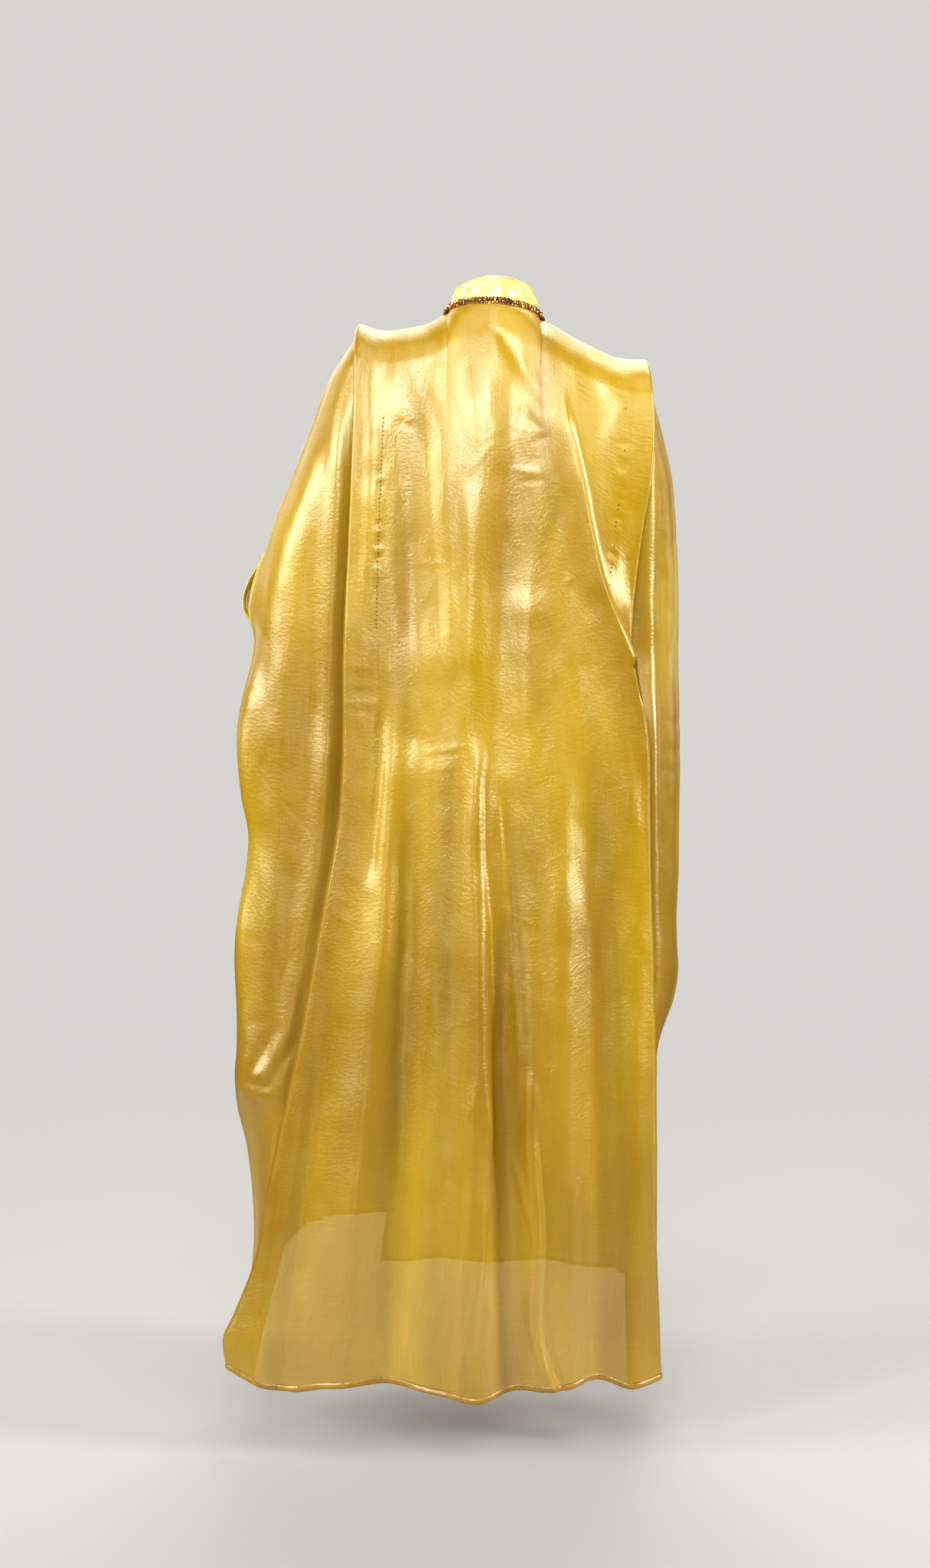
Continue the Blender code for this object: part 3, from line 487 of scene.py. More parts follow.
# Folds along the outer side of each sleeve, as BACK_LINES but following (height, depth)
LEFT_SLEEVE_SIDE = (
    (-0.0060, 0.016, 0.012, 0.14, ((-0.14, -0.024), (-0.30, -0.044), (-0.60, -0.060), (-0.95, -0.058))),
    (-0.0050, 0.012, 0.012, 0.12, ((-0.60, 0.002), (-0.80, -0.008), (-1.05, -0.018), (-1.30, -0.030))),
    (0.0040, 0.012, 0.014, 0.12, ((-0.62, -0.030), (-0.90, -0.034), (-1.20, -0.046), (-1.40, -0.052))),
    (-0.0046, 0.014, 0.012, 0.12, ((-0.90, 0.016), (-1.15, -0.002), (-1.35, 0.004), (-1.50, 0.014))),
    (-0.0030, 0.010, 0.012, 0.10, ((-0.10, 0.010), (-0.20, 0.014), (-0.32, 0.020))),
)
RIGHT_SLEEVE_SIDE = (
    (-0.0046, 0.012, 0.012, 0.12, ((-0.14, 0.004), (-0.34, -0.004), (-0.60, 0.002), (-0.86, -0.006))),
    (0.0040, 0.010, 0.014, 0.12, ((-0.60, -0.034), (-0.85, -0.028), (-1.10, -0.034), (-1.35, -0.044))),
    (-0.0050, 0.014, 0.012, 0.12, ((-0.62, -0.058), (-0.90, -0.060), (-1.20, -0.064), (-1.45, -0.062))),
    (-0.0044, 0.010, 0.014, 0.12, ((-0.95, 0.006), (-1.15, -0.002), (-1.35, 0.004), (-1.50, 0.010))),
    (-0.0034, 0.012, 0.010, 0.12, ((-0.12, -0.034), (-0.22, -0.042), (-0.34, -0.058))),
)

# The folds of each sleeve: behind, in front, on its outer side, and its small creases
SLEEVE_FOLDS = {
    True: (LEFT_SLEEVE_BEHIND, LEFT_SLEEVE_FRONT, LEFT_SLEEVE_SIDE, LEFT_SLEEVE_CREASES),
    False: (RIGHT_SLEEVE_BEHIND, RIGHT_SLEEVE_FRONT, RIGHT_SLEEVE_SIDE, RIGHT_SLEEVE_CREASES),
}

# Finer folds of the fronts, with the columns of BACK_LINES
FRONT_LINES = (
    (0.0050, 0.016, 0.022, 0.10, ((-0.10, 0.120), (-0.30, 0.116), (-0.60, 0.132), (-0.90, 0.160))),
    (-0.0046, 0.016, 0.012, 0.10, ((-0.20, 0.082), (-0.44, 0.088), (-0.70, 0.108), (-1.00, 0.144))),
    (0.0046, 0.012, 0.018, 0.10, ((-0.16, -0.110), (-0.40, -0.116), (-0.66, -0.112), (-0.94, -0.104))),
    (-0.0050, 0.014, 0.016, 0.10, ((-0.24, -0.060), (-0.50, -0.056), (-0.80, -0.044), (-1.10, -0.030))),
    (0.0044, 0.012, 0.014, 0.12, ((-0.52, -0.020), (-0.80, 0.000), (-1.10, 0.030), (-1.40, 0.052))),
    (-0.0044, 0.012, 0.012, 0.10, ((-0.70, 0.014), (-0.96, 0.042), (-1.20, 0.064), (-1.44, 0.086))),
    (0.0036, 0.010, 0.012, 0.08, ((-0.80, -0.160), (-1.00, -0.166), (-1.20, -0.170), (-1.42, -0.176))),
    (-0.0036, 0.010, 0.012, 0.08, ((-0.90, -0.130), (-1.10, -0.132), (-1.30, -0.136), (-1.44, -0.140))),
    (0.0030, 0.012, 0.010, 0.06, ((-0.90, 0.196), (-1.05, 0.214), (-1.20, 0.232), (-1.36, 0.250))),
    (-0.0034, 0.010, 0.012, 0.05, ((-0.045, 0.040), (-0.10, 0.052), (-0.18, 0.060))),
    (0.0030, 0.010, 0.012, 0.05, ((-0.050, -0.040), (-0.12, -0.058), (-0.20, -0.066))),
)

# Pucker along the sewn tucks: pitch, rise, reach to each side, from and to which height
LEFT_PUCKER = (0.0090, 0.0011, 0.0060, -0.20, -0.44)
RIGHT_PUCKER = (0.0085, 0.0011, 0.0060, -0.10, -0.40)
PUCKER_FADE = 0.05
PUCKER_ACROSS = 0.02
PUCKER_SINK = 0.3

# Crest of the slanting ridge: rise, reach to the left and right, heights where it starts and ends
CREST = (0.0100, 0.0260, 0.0040, -0.12, -0.60)
CREST_FADE = 0.14

# Noise repeats after this many cells, and starts at these ones
LATTICE = 64
UNDULATION_START = 90
ROLL_START = 9
PUCKER_START = (200, 9)
COLLAR_START = (20, 9)

# Faint unevenness of hanging cloth: rise, wavelength across, wavelength down
UNDULATION = (
    (0.0016, 0.034, 0.26),
    (0.0012, 0.030, 0.075),
    (0.0005, 0.014, 0.030),
)

# Where the relief starts below the top edge, and over how many columns it fades at a panel's side
RELIEF_FROM = 0.03
SLEEVE_RELIEF_FROM = 0.04
RELIEF_FADE_COLUMNS = 3
SLEEVE_FADE_COLUMNS = 6

# Where the upper back is evened out: from how far below the shoulder line, down to which height and over
# which share of the face, and how wide the averaging is
EVENED_FROM = 0.004
EVENED_OVER = 0.030
EVENED_DOWN_TO = -0.12
EVENED_FADE = 0.05
EVENED_SHARE = 0.93
EVENING_SAMPLES = 300
EVENING_WIDTH = 0.014

# Beads round the neck: radius, pitch, then each row's place outwards and upwards from the neck ring
BEAD_RADIUS = 0.0025
BEAD_PITCH = 0.0050
BEAD_ROWS = ((0.0016, 0.0062), (0.0044, 0.0036), (0.0058, 0.0000))
BEAD_JITTER = 0.0004
BEAD_SIZES = (0.86, 1.12)
BEAD_SIDES = 7
BEAD_TONE_STEPS = (0.37, 3.1)
BEAD_RINGS = ((0.70, 0.0), (0.0, 0.4), (-0.70, 0.0))

# Rolled hems, edges, bands and stitches
HEM_THICK = 0.0013
HEM_SEAT = 0.3
EDGE_WIDTH = 0.0030
ROLL_SIDES = 10
ROLL_TWIST = 0.35
ROLL_TWIST_LENGTH = 0.035
ROLL_PUFF = 0.22
ROLL_PUFF_LENGTH = 0.012
EDGE_THICK_SHARE = 0.7
BAND_THICK_SHARE = 0.8
STITCH_LENGTH = 0.0034
STITCH_PITCH = 0.0058
STITCH_RADIUS = 0.00080
STITCH_LIFT = 0.0003
STITCH_SIDES = 5
STITCH_DRIFT = 0.0006
STITCH_LEAN = 0.35
STITCH_SIZES = (0.8, 1.1)
STITCH_FULL = 0.6
STITCHED_LEFT = (-0.16, -0.45)
STITCHED_RIGHT = (-0.10, -0.39)

# Colours, linear
GOLD = (0.50, 0.315, 0.001, 1.0)
DEEP_GOLD = (0.37, 0.208, 0.001, 1.0)
PALE_GOLD = (0.68, 0.50, 0.02, 1.0)
HEM_GOLD = (0.40, 0.195, 0.010, 1.0)
COLLAR_GOLD = (0.70, 0.55, 0.14, 1.0)
COLLAR_PALE = (0.76, 0.64, 0.24, 1.0)
BEAD_DARK = (0.13, 0.042, 0.006, 1.0)
BEAD_BRIGHT = (0.85, 0.48, 0.10, 1.0)
THREAD = (0.13, 0.055, 0.005, 1.0)
WARM_WHITE = (1.0, 0.99, 0.97)
COOL_WHITE = (0.95, 0.965, 1.0)
WALL_GREY = (0.610, 0.598, 0.578, 1.0)
FLOOR_GREY = (0.46, 0.452, 0.438, 1.0)
DIM_AIR = (0.80, 0.80, 0.80, 1.0)
DIM_AIR_STRENGTH = 0.05

# How much of the light each finish holds back, and how rough it is
CLOTH_ALPHA = 0.88
COLLAR_ALPHA = 0.95
HEM_ALPHA = 0.96
CUFF_ALPHA = 0.97
CLOTH_ROUGHNESS = 0.34
HEM_ROUGHNESS = 0.28
THREAD_ROUGHNESS = 0.5
BEAD_ROUGHNESS = 0.16
BEAD_COAT = 0.6
FLOOR_ROUGHNESS = 0.7
COLLAR_CRUMPLED = 0.35

# Patterns of the cloth: scale across the threads, scale down them, detail
WARP = (950.0, 14.0, 2.0)
WEFT = (38.0, 760.0, 2.0)
SLUB = (26.0, 520.0, 1.0)
CRUMPLE = (150.0, 210.0, 4.0)
SILKY = (74.0, 9.0, 3.0)
GRAIN = (430.0, 360.0, 2.0)
CLOUDY = (9.0, 2.4, 1.0)
GLOSS = (30.0, 22.0, 3.0)
WRINKLED = (11.0, 8.0, 1.0)
WRINKLE_CELLS = (15.0, 9.0, 1.0)

# Where each pattern starts and ends to show, and how much
CLOUDY_BAND = (0.30, 0.72)
SLUB_BAND = (0.60, 0.85)
SLUB_SHARE = 0.16
STREAK_BAND = (0.35, 0.75)
STREAK_SHARE = 0.14
WRINKLED_BAND = (0.46, 0.74)
WRINKLE_LINE = (0.11, 0.0)
BEAD_GOLD_BAND = (0.40, 0.80)
GLOSS_RANGE = 0.16

# Rise of the patterns in the relief of the cloth, in shares of its height
WARP_RISE = 0.30
CLOTH_RELIEF = (
    (WEFT, 0.22),
    (GRAIN, 0.70),
    (CRUMPLE, 1.5),
    (SILKY, 1.0),
)
BUMP_STRENGTH = 0.40
BUMP_HEIGHT = 0.0006

# Gloss and sheen of the satin
SATIN = {
    "Metallic": 0.04,
    "IOR": 1.8,
    "Specular IOR Level": 0.72,
    "Specular Tint": (0.97, 1.0, 0.93, 1.0),
    "Sheen Weight": 0.06,
    "Sheen Roughness": 0.4,
    "Sheen Tint": (1.0, 0.88, 0.40, 1.0),
}

# Soft lights: name, place, where they point, width and height, power, colour, spread in degrees
LIGHTS = (
    ("sheen_light", (0.3, 4.5, 1.2), (0.0, 0.1, -0.1), (2.0, 1.3), 17, COOL_WHITE, 62),
    ("key_light", (3.5, 2.8, 1.0), (0.0, 0.1, -0.3), (1.2, 1.6), 19, COOL_WHITE, 80),
    ("right_key", (-2.2, 3.5, 0.9), (0.0, 0.1, -0.4), (0.8, 1.4), 21, WARM_WHITE, 180),
    ("left_side", (4.0, 0.9, 0.5), (0.1, 0.0, -0.6), (1.1, 2.0), 84, WARM_WHITE, 180),
    ("right_side", (-3.8, 0.9, 0.2), (-0.1, 0.0, -0.5), (0.8, 2.0), 120, WARM_WHITE, 180),
    ("top_light", (0.0, 3.6, 2.4), (0.0, 0.0, -0.1), (2.4, 1.2), 32, COOL_WHITE, 180),
    ("low_key", (1.7, 4.0, -0.9), (0.0, 0.15, -1.1), (0.4, 0.9), 6, WARM_WHITE, 180),
    ("overhead", (0.0, 0.7, 2.5), (0.0, 0.0, 0.0), (2.6, 2.2), 25, WARM_WHITE, 180),
    ("shoulder_light", (0.0, 2.3, 2.8), (0.0, 0.05, -0.1), (2.6, 1.3), 9, WARM_WHITE, 180),
    ("front_light", (0.5, -4.6, 1.3), (0.0, -0.1, -0.5), (4.4, 3.4), 105, WARM_WHITE, 180),
    ("front_high", (-0.6, -3.2, 3.2), (0.0, -0.1, -0.6), (3.0, 1.6), 84, WARM_WHITE, 180),
    ("left_rim", (2.8, -2.4, 0.2), (0.2, 0.0, -0.6), (1.2, 2.8), 18, WARM_WHITE, 180),
    ("right_rim", (-2.8, -2.4, 0.2), (-0.2, 0.0, -0.6), (1.2, 2.8), 14, WARM_WHITE, 180),
)


def clamp(value, low=0.0, high=1.0):
    return np.clip(value, low, high)


def ease(value):
    """0 below 0, 1 above 1 and a smooth step between."""
    t = clamp(value)
    return t * t * (3 - 2 * t)


def mix(first, second, share):
    return first + (second - first) * share


def along(table, place, column=1):
    """A column of the table, read by a smooth curve at places in its first column, falling row by row."""
    rows = np.array([(row[0], row[column]) for row in table], float)[::-1]
    keys, values = rows[:, 0], rows[:, 1]
    place = clamp(np.asarray(place, float), keys[0], keys[-1])
    at = clamp(np.searchsorted(keys, place, side="right") - 1, 0, len(keys) - 2)
    chords = np.diff(values) / np.diff(keys)
    inner = np.where(chords[1:] * chords[:-1] <= 0, 0.0, (chords[1:] + chords[:-1]) / 2)
    slopes = np.concatenate(([chords[0]], inner, [chords[-1]]))
    gap = keys[at + 1] - keys[at]
    t = (place - keys[at]) / gap
    rise = (t - 2 * t**2 + t**3) * slopes[at] + (t**3 - t**2) * slopes[at + 1]
    return mix(values[at], values[at + 1], t * t * (3 - 2 * t)) + rise * gap


def soft_folds(folds, x, height):
    """How far the largest folds lift the cloth outwards."""
    lift = np.zeros(np.broadcast(x, height).shape)
    for top, top_x, bottom, bottom_x, top_width, bottom_width, rise in folds:
        way = (height - top) / (bottom - top)
        width = mix(top_width, bottom_width, clamp(way))
        off = (x - mix(top_x, bottom_x, way)) / width
        ends = ease((way + FOLD_RUN_IN) / FOLD_FADE_IN) * ease((1 + FOLD_RUN_OUT - way) / FOLD_FADE_OUT)
        lift += rise * ends * np.exp(-off * off)
    return lift


def neck_point(angle):
    """The neck ring, from 0 at the back through 90 degrees at the wearer's left: across, depth, height."""
    out, back = np.sin(angle), np.cos(angle)
    depth = np.where(back > 0, NECK_BACK, NECK_FRONT)
    rise = np.where(back > 0, NECK_SIDE_DROP * back, -NECK_FRONT_DROP * back * back)
    height = NECK_TILT * out - NECK_SIDE_DROP + rise
    return NECK_CENTRE + NECK_HALF_WIDTH * out, depth * back, height


def top_line(x, side):
    """Depth and height of the shoulder line and neck ring, for the back (side 1) or a front (side -1)."""
    off = (x - NECK_CENTRE) / NECK_HALF_WIDTH
    angle = np.arcsin(clamp(off, -1, 1))
    _, ring_y, ring_z = neck_point(angle if side > 0 else math.pi - angle)
    at_neck = abs(off) < 1
    depth = np.where(at_neck, np.maximum(side * ring_y, SEAM / 2), SEAM / 2)
    return side * depth, np.where(at_neck, ring_z, along(SHOULDER_LINE, x))


def fall(top, bottom, share, side, start=0.0):
    """Height and turn of cloth that bends over the shoulder and then hangs, at a share of its length."""
    bend = BACK_BEND if side > 0 else FRONT_BEND
    quarter = bend * math.pi / 2
    length = quarter + top - bend - bottom
    run = start + share * (length - start)
    turn = clamp(run / bend, 0.0, math.pi / 2)
    height = top - bend * (1 - np.cos(turn)) - np.maximum(run - quarter, 0.0)
    return height, turn


def bowed(profile, x, height, left, right):
    """Depth of a bowed face between its left and right edges."""
    off = (x - (left + right) / 2) / ((left - right) / 2)
    middle, edge = along(profile, height, 1), along(profile, height, 2)
    return mix(middle, edge, np.minimum(abs(off), FACE_REACH) ** FACE_BOW)


def back_depth(x, height):
    left = along(BACK_LEFT_FOLD, height)
    right = np.minimum(along(BACK_RIGHT_FOLD, height), along(BACK_RIDGE, height))
    return bowed(BACK_PROFILE, x, height, left, right) + soft_folds(BACK_FOLDS, x, height)


def front_depth(x, height):
    left, right = along(FRONT_FOLDS, height, 1), along(FRONT_FOLDS, height, 2)
    return bowed(FRONT_PROFILE, x, height, left, right) + soft_folds(FRONT_SOFT_FOLDS, x, height)


def hang(x, behind, height, turn, side, top_y):
    """Points of the back (side 1) or front (side -1), a distance behind its outer face."""
    depth = back_depth(x, height) if side > 0 else front_depth(x, height)
    out = mix(side * top_y, depth, np.sin(turn)) - behind * np.sin(turn)
    return np.stack([x + 0 * height, side * out, height - behind * np.cos(turn)], axis=-1)


def arc(edge, inward, behind, space, way):
    """A place on the half turn round a fold edge, from the nearer layer (0) to the one behind it (1)."""
    angle = math.pi * way
    across = edge + inward * space / 2 * np.maximum(1 - np.sin(angle), 0) ** FOLD_CRISP
    return across, behind + (1 - np.cos(angle)) * space / 2


def top_shares():
    """How the construction's columns between the left fold and the ridge share that width at the top."""
    left, right = BACK_LEFT_FOLD[0][1], BACK_RIDGE[0][1]
    neck_left, neck_right = NECK_CENTRE + NECK_HALF_WIDTH, NECK_CENTRE - NECK_HALF_WIDTH
    places = [mix(left, neck_left, k / SHOULDER_COLUMNS) for k in range(SHOULDER_COLUMNS)]
    for k in range(NECK_COLUMNS):
        places.append(NECK_CENTRE + NECK_HALF_WIDTH * math.sin(math.pi * (0.5 - k / NECK_COLUMNS)))
    places += [mix(neck_right, right, k / RIDGE_COLUMNS) for k in range(RIDGE_COLUMNS + 1)]
    return [(left - x) / (left - right) for x in places]


TOP_SHARES = top_shares()


def back_stations():
    """The fine columns of the back from its left seam to its right one, as (zone, way)."""
    steps = [k / EDGE_STEPS for k in range(EDGE_STEPS + 1)]
    stations = [("left_seam", 0.0)]
    stations += [("left_tuck", 1 - way) for way in steps]
    stations += [("left_fold", 1 - way) for way in steps]
    face = [k / FACE_COLUMNS for k in range(1, FACE_COLUMNS + 1)]
    stations += [("face", mix(way, math.sin(math.pi / 2 * way), RIDGE_CROWDING)) for way in face]
    gore = [k / GORE_STEPS for k in range(1, GORE_STEPS + 1)]
    stations += [("gore", mix(way, way * way, RIDGE_CROWDING)) for way in gore]
    stations += [("right_fold", way) for way in steps]
    stations += [("right_tuck", way) for way in steps]
    return stations + [("right_seam", 0.0)]


def ridge_share(height):
    """0 where the slanting ridge lies inside the back, 1 where it has become the back's right fold."""
    return ease((height - RIDGE_TAKES_OVER[0]) / (RIDGE_TAKES_OVER[1] - RIDGE_TAKES_OVER[0]))


def back_station(zone, way, height):
    """A column of the back at these heights, as (across, behind the outer face)."""
    edge, tuck, space = (along(BACK_LEFT_FOLD, height, column) for column in (1, 2, 3))
    if zone == "left_seam":
        return tuck + SEAM_LAP, 2 * space
    if zone == "left_tuck":
        return arc(tuck, 1, space, space, way)
    if zone == "left_fold":
        return arc(edge, -1, 0.0, space, way)
    ridge, recess = along(BACK_RIDGE, height, 1), along(BACK_RIDGE, height, 2)
    if zone == "face":
        even = ease((-height - EVEN_BACK[0]) / EVEN_BACK[1])
        near_top = np.interp(way * (len(TOP_SHARES) - 1), range(len(TOP_SHARES)), TOP_SHARES)
        end = ridge + ridge_share(height) * along(BACK_RIGHT_FOLD, height, 3) / 2
        return mix(edge - space / 2, end, mix(near_top, way, even)), 0 * height
    edge, tuck, space = (along(BACK_RIGHT_FOLD, height, column) for column in (1, 2, 3))
    far = tuck - space
    if zone == "gore":
        share = way * GORE_STEPS / (GORE_STEPS + 1)
        upper = mix(ridge, edge + space / 2, share), recess * ease(share)
        lower = arc(ridge, 1, 0.0, space, way)
    elif zone == "right_fold":
        upper = arc(edge, 1, recess, space, way)
        step = (1 + way * EDGE_STEPS) / (EDGE_STEPS + 2)
        lower = mix(ridge + space / 2, far, step), space
    elif zone == "right_tuck":
        upper = arc(tuck, -1, recess + space, space, way)
        lower = arc(tuck, -1, space, space, way)
    else:
        upper = tuck - SEAM_LAP, recess + 2 * space
        lower = tuck - SEAM_LAP, 2 * space
    blend = ridge_share(height)
    return mix(upper[0], lower[0], blend), mix(upper[1], lower[1], blend)


def back_points(shares):
    """Points of the back by column and row."""
    columns = []
    for zone, way in BACK_STATIONS:
        x = float(back_station(zone, way, np.array([0.0]))[0][0])
        top_y, top_z = (float(v) for v in top_line(np.array(x), 1))
        bottom_x = float(back_station(zone, way, np.array([HEM_LEVEL]))[0][0])
        bottom = float(along(BACK_HEM, bottom_x)) + HEM_HEIGHT + HEM_GAP
        height, turn = fall(top_z, bottom, shares, 1)
        across, behind = back_station(zone, way, height)
        columns.append(hang(across, behind, height, turn, 1, top_y))
    return np.stack(columns)


BACK_STATIONS = back_stations()


def front_stations():
    steps = [k / EDGE_STEPS for k in range(EDGE_STEPS + 1)]
    stations = [("seam", 0.0)]
    stations += [("tuck", 1 - way) for way in steps]
    stations += [("fold", 1 - way) for way in steps]
    return stations + [("face", k / FRONT_FACE_COLUMNS) for k in range(1, FRONT_FACE_COLUMNS + 1)]


FRONT_STATIONS = front_stations()


def front_station(zone, way, height, is_left):
    """A column of a front at these heights, as (across, behind the outer face)."""
    side = 1 if is_left else -1
    edge = along(FRONT_FOLDS, height, 1 if is_left else 2)
    tuck = edge - side * along(FRONT_FOLDS, height, 3)
    space = along(FRONT_FOLDS, height, 4)
    if zone == "seam":
        return tuck + side * SEAM_LAP, 2 * space
    if zone == "tuck":
        return arc(tuck, side, space, space, way)
    if zone == "fold":
        return arc(edge, -side, 0.0, space, way)
    start = edge - side * space / 2
    end, overlap, gap = (along(FRONT_EDGE, height, column) for column in (1, 2, 3))
    end, recess = (end - overlap + SEAM / 2, gap) if is_left else (end - SEAM / 2, 0 * height)
    neck_side = NECK_CENTRE + side * NECK_HALF_WIDTH
    if way <= 0.5:
        near_top = mix(start, neck_side, 2 * way)
    else:
        near_top = mix(neck_side, end, 1 - math.cos(math.pi / 2 * (2 * way - 1)))
    even = ease((-height - EVEN_FRONT[0]) / EVEN_FRONT[1])
    x = mix(near_top, mix(start, end, way), even)
    return x, recess * ease((way - RECESS_FROM) / RECESS_OVER)


def front_points(shares, is_left):
    """Points of a front by column and row."""
    hem = LEFT_FRONT_HEM if is_left else RIGHT_FRONT_HEM
    columns = []
    for zone, way in FRONT_STATIONS:
        x = float(front_station(zone, way, np.array([0.0]), is_left)[0][0])
        top_y, top_z = (float(v) for v in top_line(np.array(x), -1))
        height, turn = fall(top_z, hem + HEM_HEIGHT + HEM_GAP, shares, -1)
        across, behind = front_station(zone, way, height, is_left)
        columns.append(hang(across, behind, height, turn, -1, top_y))
    return np.stack(columns)


def hidden_layer(height, is_left, face):
    """Fold edge, tuck and depth of the hidden layer that a sleeve continues."""
    side = 1 if is_left else -1
    if face < 0:
        edge = along(FRONT_FOLDS, height, 1 if is_left else 2)
        return edge, edge - side * along(FRONT_FOLDS, height, 3), 2 * along(FRONT_FOLDS, height, 4)
    ways = [k / (TURN_PLACES - 1) for k in range(TURN_PLACES)]
    if is_left:
        turns = [back_station("left_fold", way, height)[0] for way in ways]
        seam = back_station("left_seam", 0.0, height)
        return np.max(turns, axis=0), seam[0] - SEAM_LAP, seam[1]
    turns = [back_station("right_fold", way, height)[0] for way in ways]
    turns += [back_station("gore", way, height)[0] for way in ways]
    seam = back_station("right_seam", 0.0, height)
    return np.min(turns, axis=0), seam[0] + SEAM_LAP, seam[1]


def sleeve_anchor(share, is_left, face, at_seam):
    """The flat start of a sleeve behind the back (face 1) or front (face -1), at its seam or at its bend."""
    side = 1 if is_left else -1
    tip = SHOULDER_LINE[0 if is_left else -1]
    if face > 0:
        hem = float(along(BACK_HEM, side * 1.0))
    else:
        hem = LEFT_FRONT_HEM if is_left else RIGHT_FRONT_HEM
    height, turn = fall(tip[1], hem + HEM_HEIGHT + HEM_GAP, share, face, SLEEVE_START)
    edge, tuck, behind = hidden_layer(height, is_left, face)
    seam = tuck + side * (SEAM_LAP + SEAM)
    outer = along(LEFT_SLEEVE if is_left else RIGHT_SLEEVE, height)
    bend = np.maximum(side * outer - SLEEVE_BEND, side * seam + FLAT_LEAST)
    flat_end = side * np.minimum(side * edge - SLEEVE_INSET, bend)
    return hang(seam if at_seam else flat_end, behind, height, turn, face, face * SEAM / 2)


def tapered(column, height, is_left):
    """The column's place round the sleeve: columns draw together at the ends of the cuff opening."""
    middle, half, _, _ = LEFT_CUFF if is_left else RIGHT_CUFF
    way = abs(height - middle) / half
    inside = 1 - np.sqrt(np.maximum(1 - way * way, 0))
    draw = np.where(way < 1, inside, np.exp(-(way - 1) / CUFF_DRAW_FADE))
    centre = sum(CUFF_COLUMNS) / 2
    off = column - centre
    return centre + off * (1 - CUFF_TAPER * draw * math.exp(-((off / CUFF_DRAW_REACH) ** 2)))


def cuff_lip(around, height, is_left):
    """How far the front lip of the cuff opening stands out."""
    _, _, stand, peak = LEFT_CUFF if is_left else RIGHT_CUFF
    reach = np.where(height > peak, LIP_ABOVE, LIP_BELOW)
    off = (around - LIP_TURN) / LIP_SPREAD
    return stand * np.exp(-(((height - peak) / reach) ** 2)) * np.exp(-off * off)


def sleeve_column(column, shares, is_left):
    """A column of a sleeve. They run from the back seam, round the outer edge, to the front seam."""
    table = LEFT_SLEEVE if is_left else RIGHT_SLEEVE
    if column in (0, SLEEVE_LAST):
        return sleeve_anchor(shares, is_left, 1 if column == 0 else -1, True)
    hem = LEFT_FRONT_HEM if is_left else RIGHT_FRONT_HEM
    bottom = (float(along(BACK_HEM, 1.0 if is_left else -1.0)) + hem) / 2 + HEM_HEIGHT + HEM_GAP
    outer_height = mix(table[0][0], bottom, shares)
    around = math.pi * (tapered(column, outer_height, is_left) - 1) / SLEEVE_STEPS
    behind = around <= math.pi / 2
    anchor = np.where(
        behind[:, None],
        sleeve_anchor(shares, is_left, 1, False),
        sleeve_anchor(shares, is_left, -1, False),
    )
    out, across_face = np.sin(around), abs(np.cos(around))
    height = mix(anchor[:, 2], outer_height, out)
    edge, depth, swell_back, swell_front = (along(table, height, k) for k in (1, 2, 3, 4))
    x = mix(anchor[:, 0], edge, out**SLEEVE_ROUNDNESS)
    x = x + (1 if is_left else -1) * cuff_lip(around, height, is_left)
    swell = np.where(behind, swell_back, -swell_front) * np.sin(2 * around) ** 2
    y = mix(depth, anchor[:, 1], across_face**SLEEVE_ROUNDNESS) + swell
    return np.stack([x, y, height], axis=-1)


def sleeve_columns():
    """The fine columns of a sleeve, with every column of the construction among them."""
    steps = SLEEVE_STEPS * SLEEVE_FINER_COLUMNS
    return [0] + [1 + k / SLEEVE_FINER_COLUMNS for k in range(steps + 1)] + [SLEEVE_LAST]


def row_share(row):
    """Rows of a sleeve lie closer together near the shoulders."""
    return (row / SLEEVE_ROWS) ** ROW_CROWDING


def cuff_rows(is_left):
    """First and last of the construction's rows at the cuff opening."""
    middle, half, _, _ = LEFT_CUFF if is_left else RIGHT_CUFF
    shares = row_share(np.arange(SLEEVE_ROWS + 1))
    heights = sleeve_column(sum(CUFF_COLUMNS) // 2, shares, is_left)[:, 2]
    inside = np.nonzero(abs(heights - middle) <= half)[0]
    return int(inside[0]), int(inside[-1])


def lattice_noise(u, v, seed):
    """Smooth noise from -1 to 1 on a plane, the same on each run."""
    lattice = np.random.default_rng(seed).uniform(-1, 1, (LATTICE, LATTICE))
    column, row = np.floor(u).astype(int), np.floor(v).astype(int)
    s, t = ease(u - column), ease(v - row)

    def corner(right, down):
        return lattice[(column + right) % LATTICE, (row + down) % LATTICE]

    return mix(mix(corner(0, 0), corner(1, 0), s), mix(corner(0, 1), corner(1, 1), s), t)


def line_relief(lines, x, height):
    """How far the finer folds lift the cloth."""
    lift = np.zeros_like(x)
    for rise, left_width, right_width, fade, path in lines:
        off = x - along(path, height)
        width = np.where(off > 0, left_width, right_width)
        ends = ease((path[0][0] + fade / 2 - height) / fade) * ease((height - path[-1][0] + fade / 2) / fade)
        lift += rise * ends * np.exp(-((off / width) ** 2))
    return lift


def crease_relief(creases, x, height):
    """How far the small creases lift the cloth."""
    lift = np.zeros_like(x)
    for across, middle, lean, length, width, rise in creases:
        turn = math.radians(lean)
        along_it = (x - across) * math.cos(turn) + (height - middle) * math.sin(turn)
        off = -(x - across) * math.sin(turn) + (height - middle) * math.cos(turn)
        lift += rise / 1000 * np.exp(-((off / width) ** 2)) * np.exp(-((2 * along_it / length) ** 4))
    return lift


def undulation(x, height, seed):
    """The faint unevenness of hanging cloth: long soft waves and smaller ones."""
    lift, start = 0.0, UNDULATION_START
    for order, (rise, across, down) in enumerate(UNDULATION):
        lift = lift + rise * lattice_noise(x / across + start, height / down + start, seed + order)
    return lift


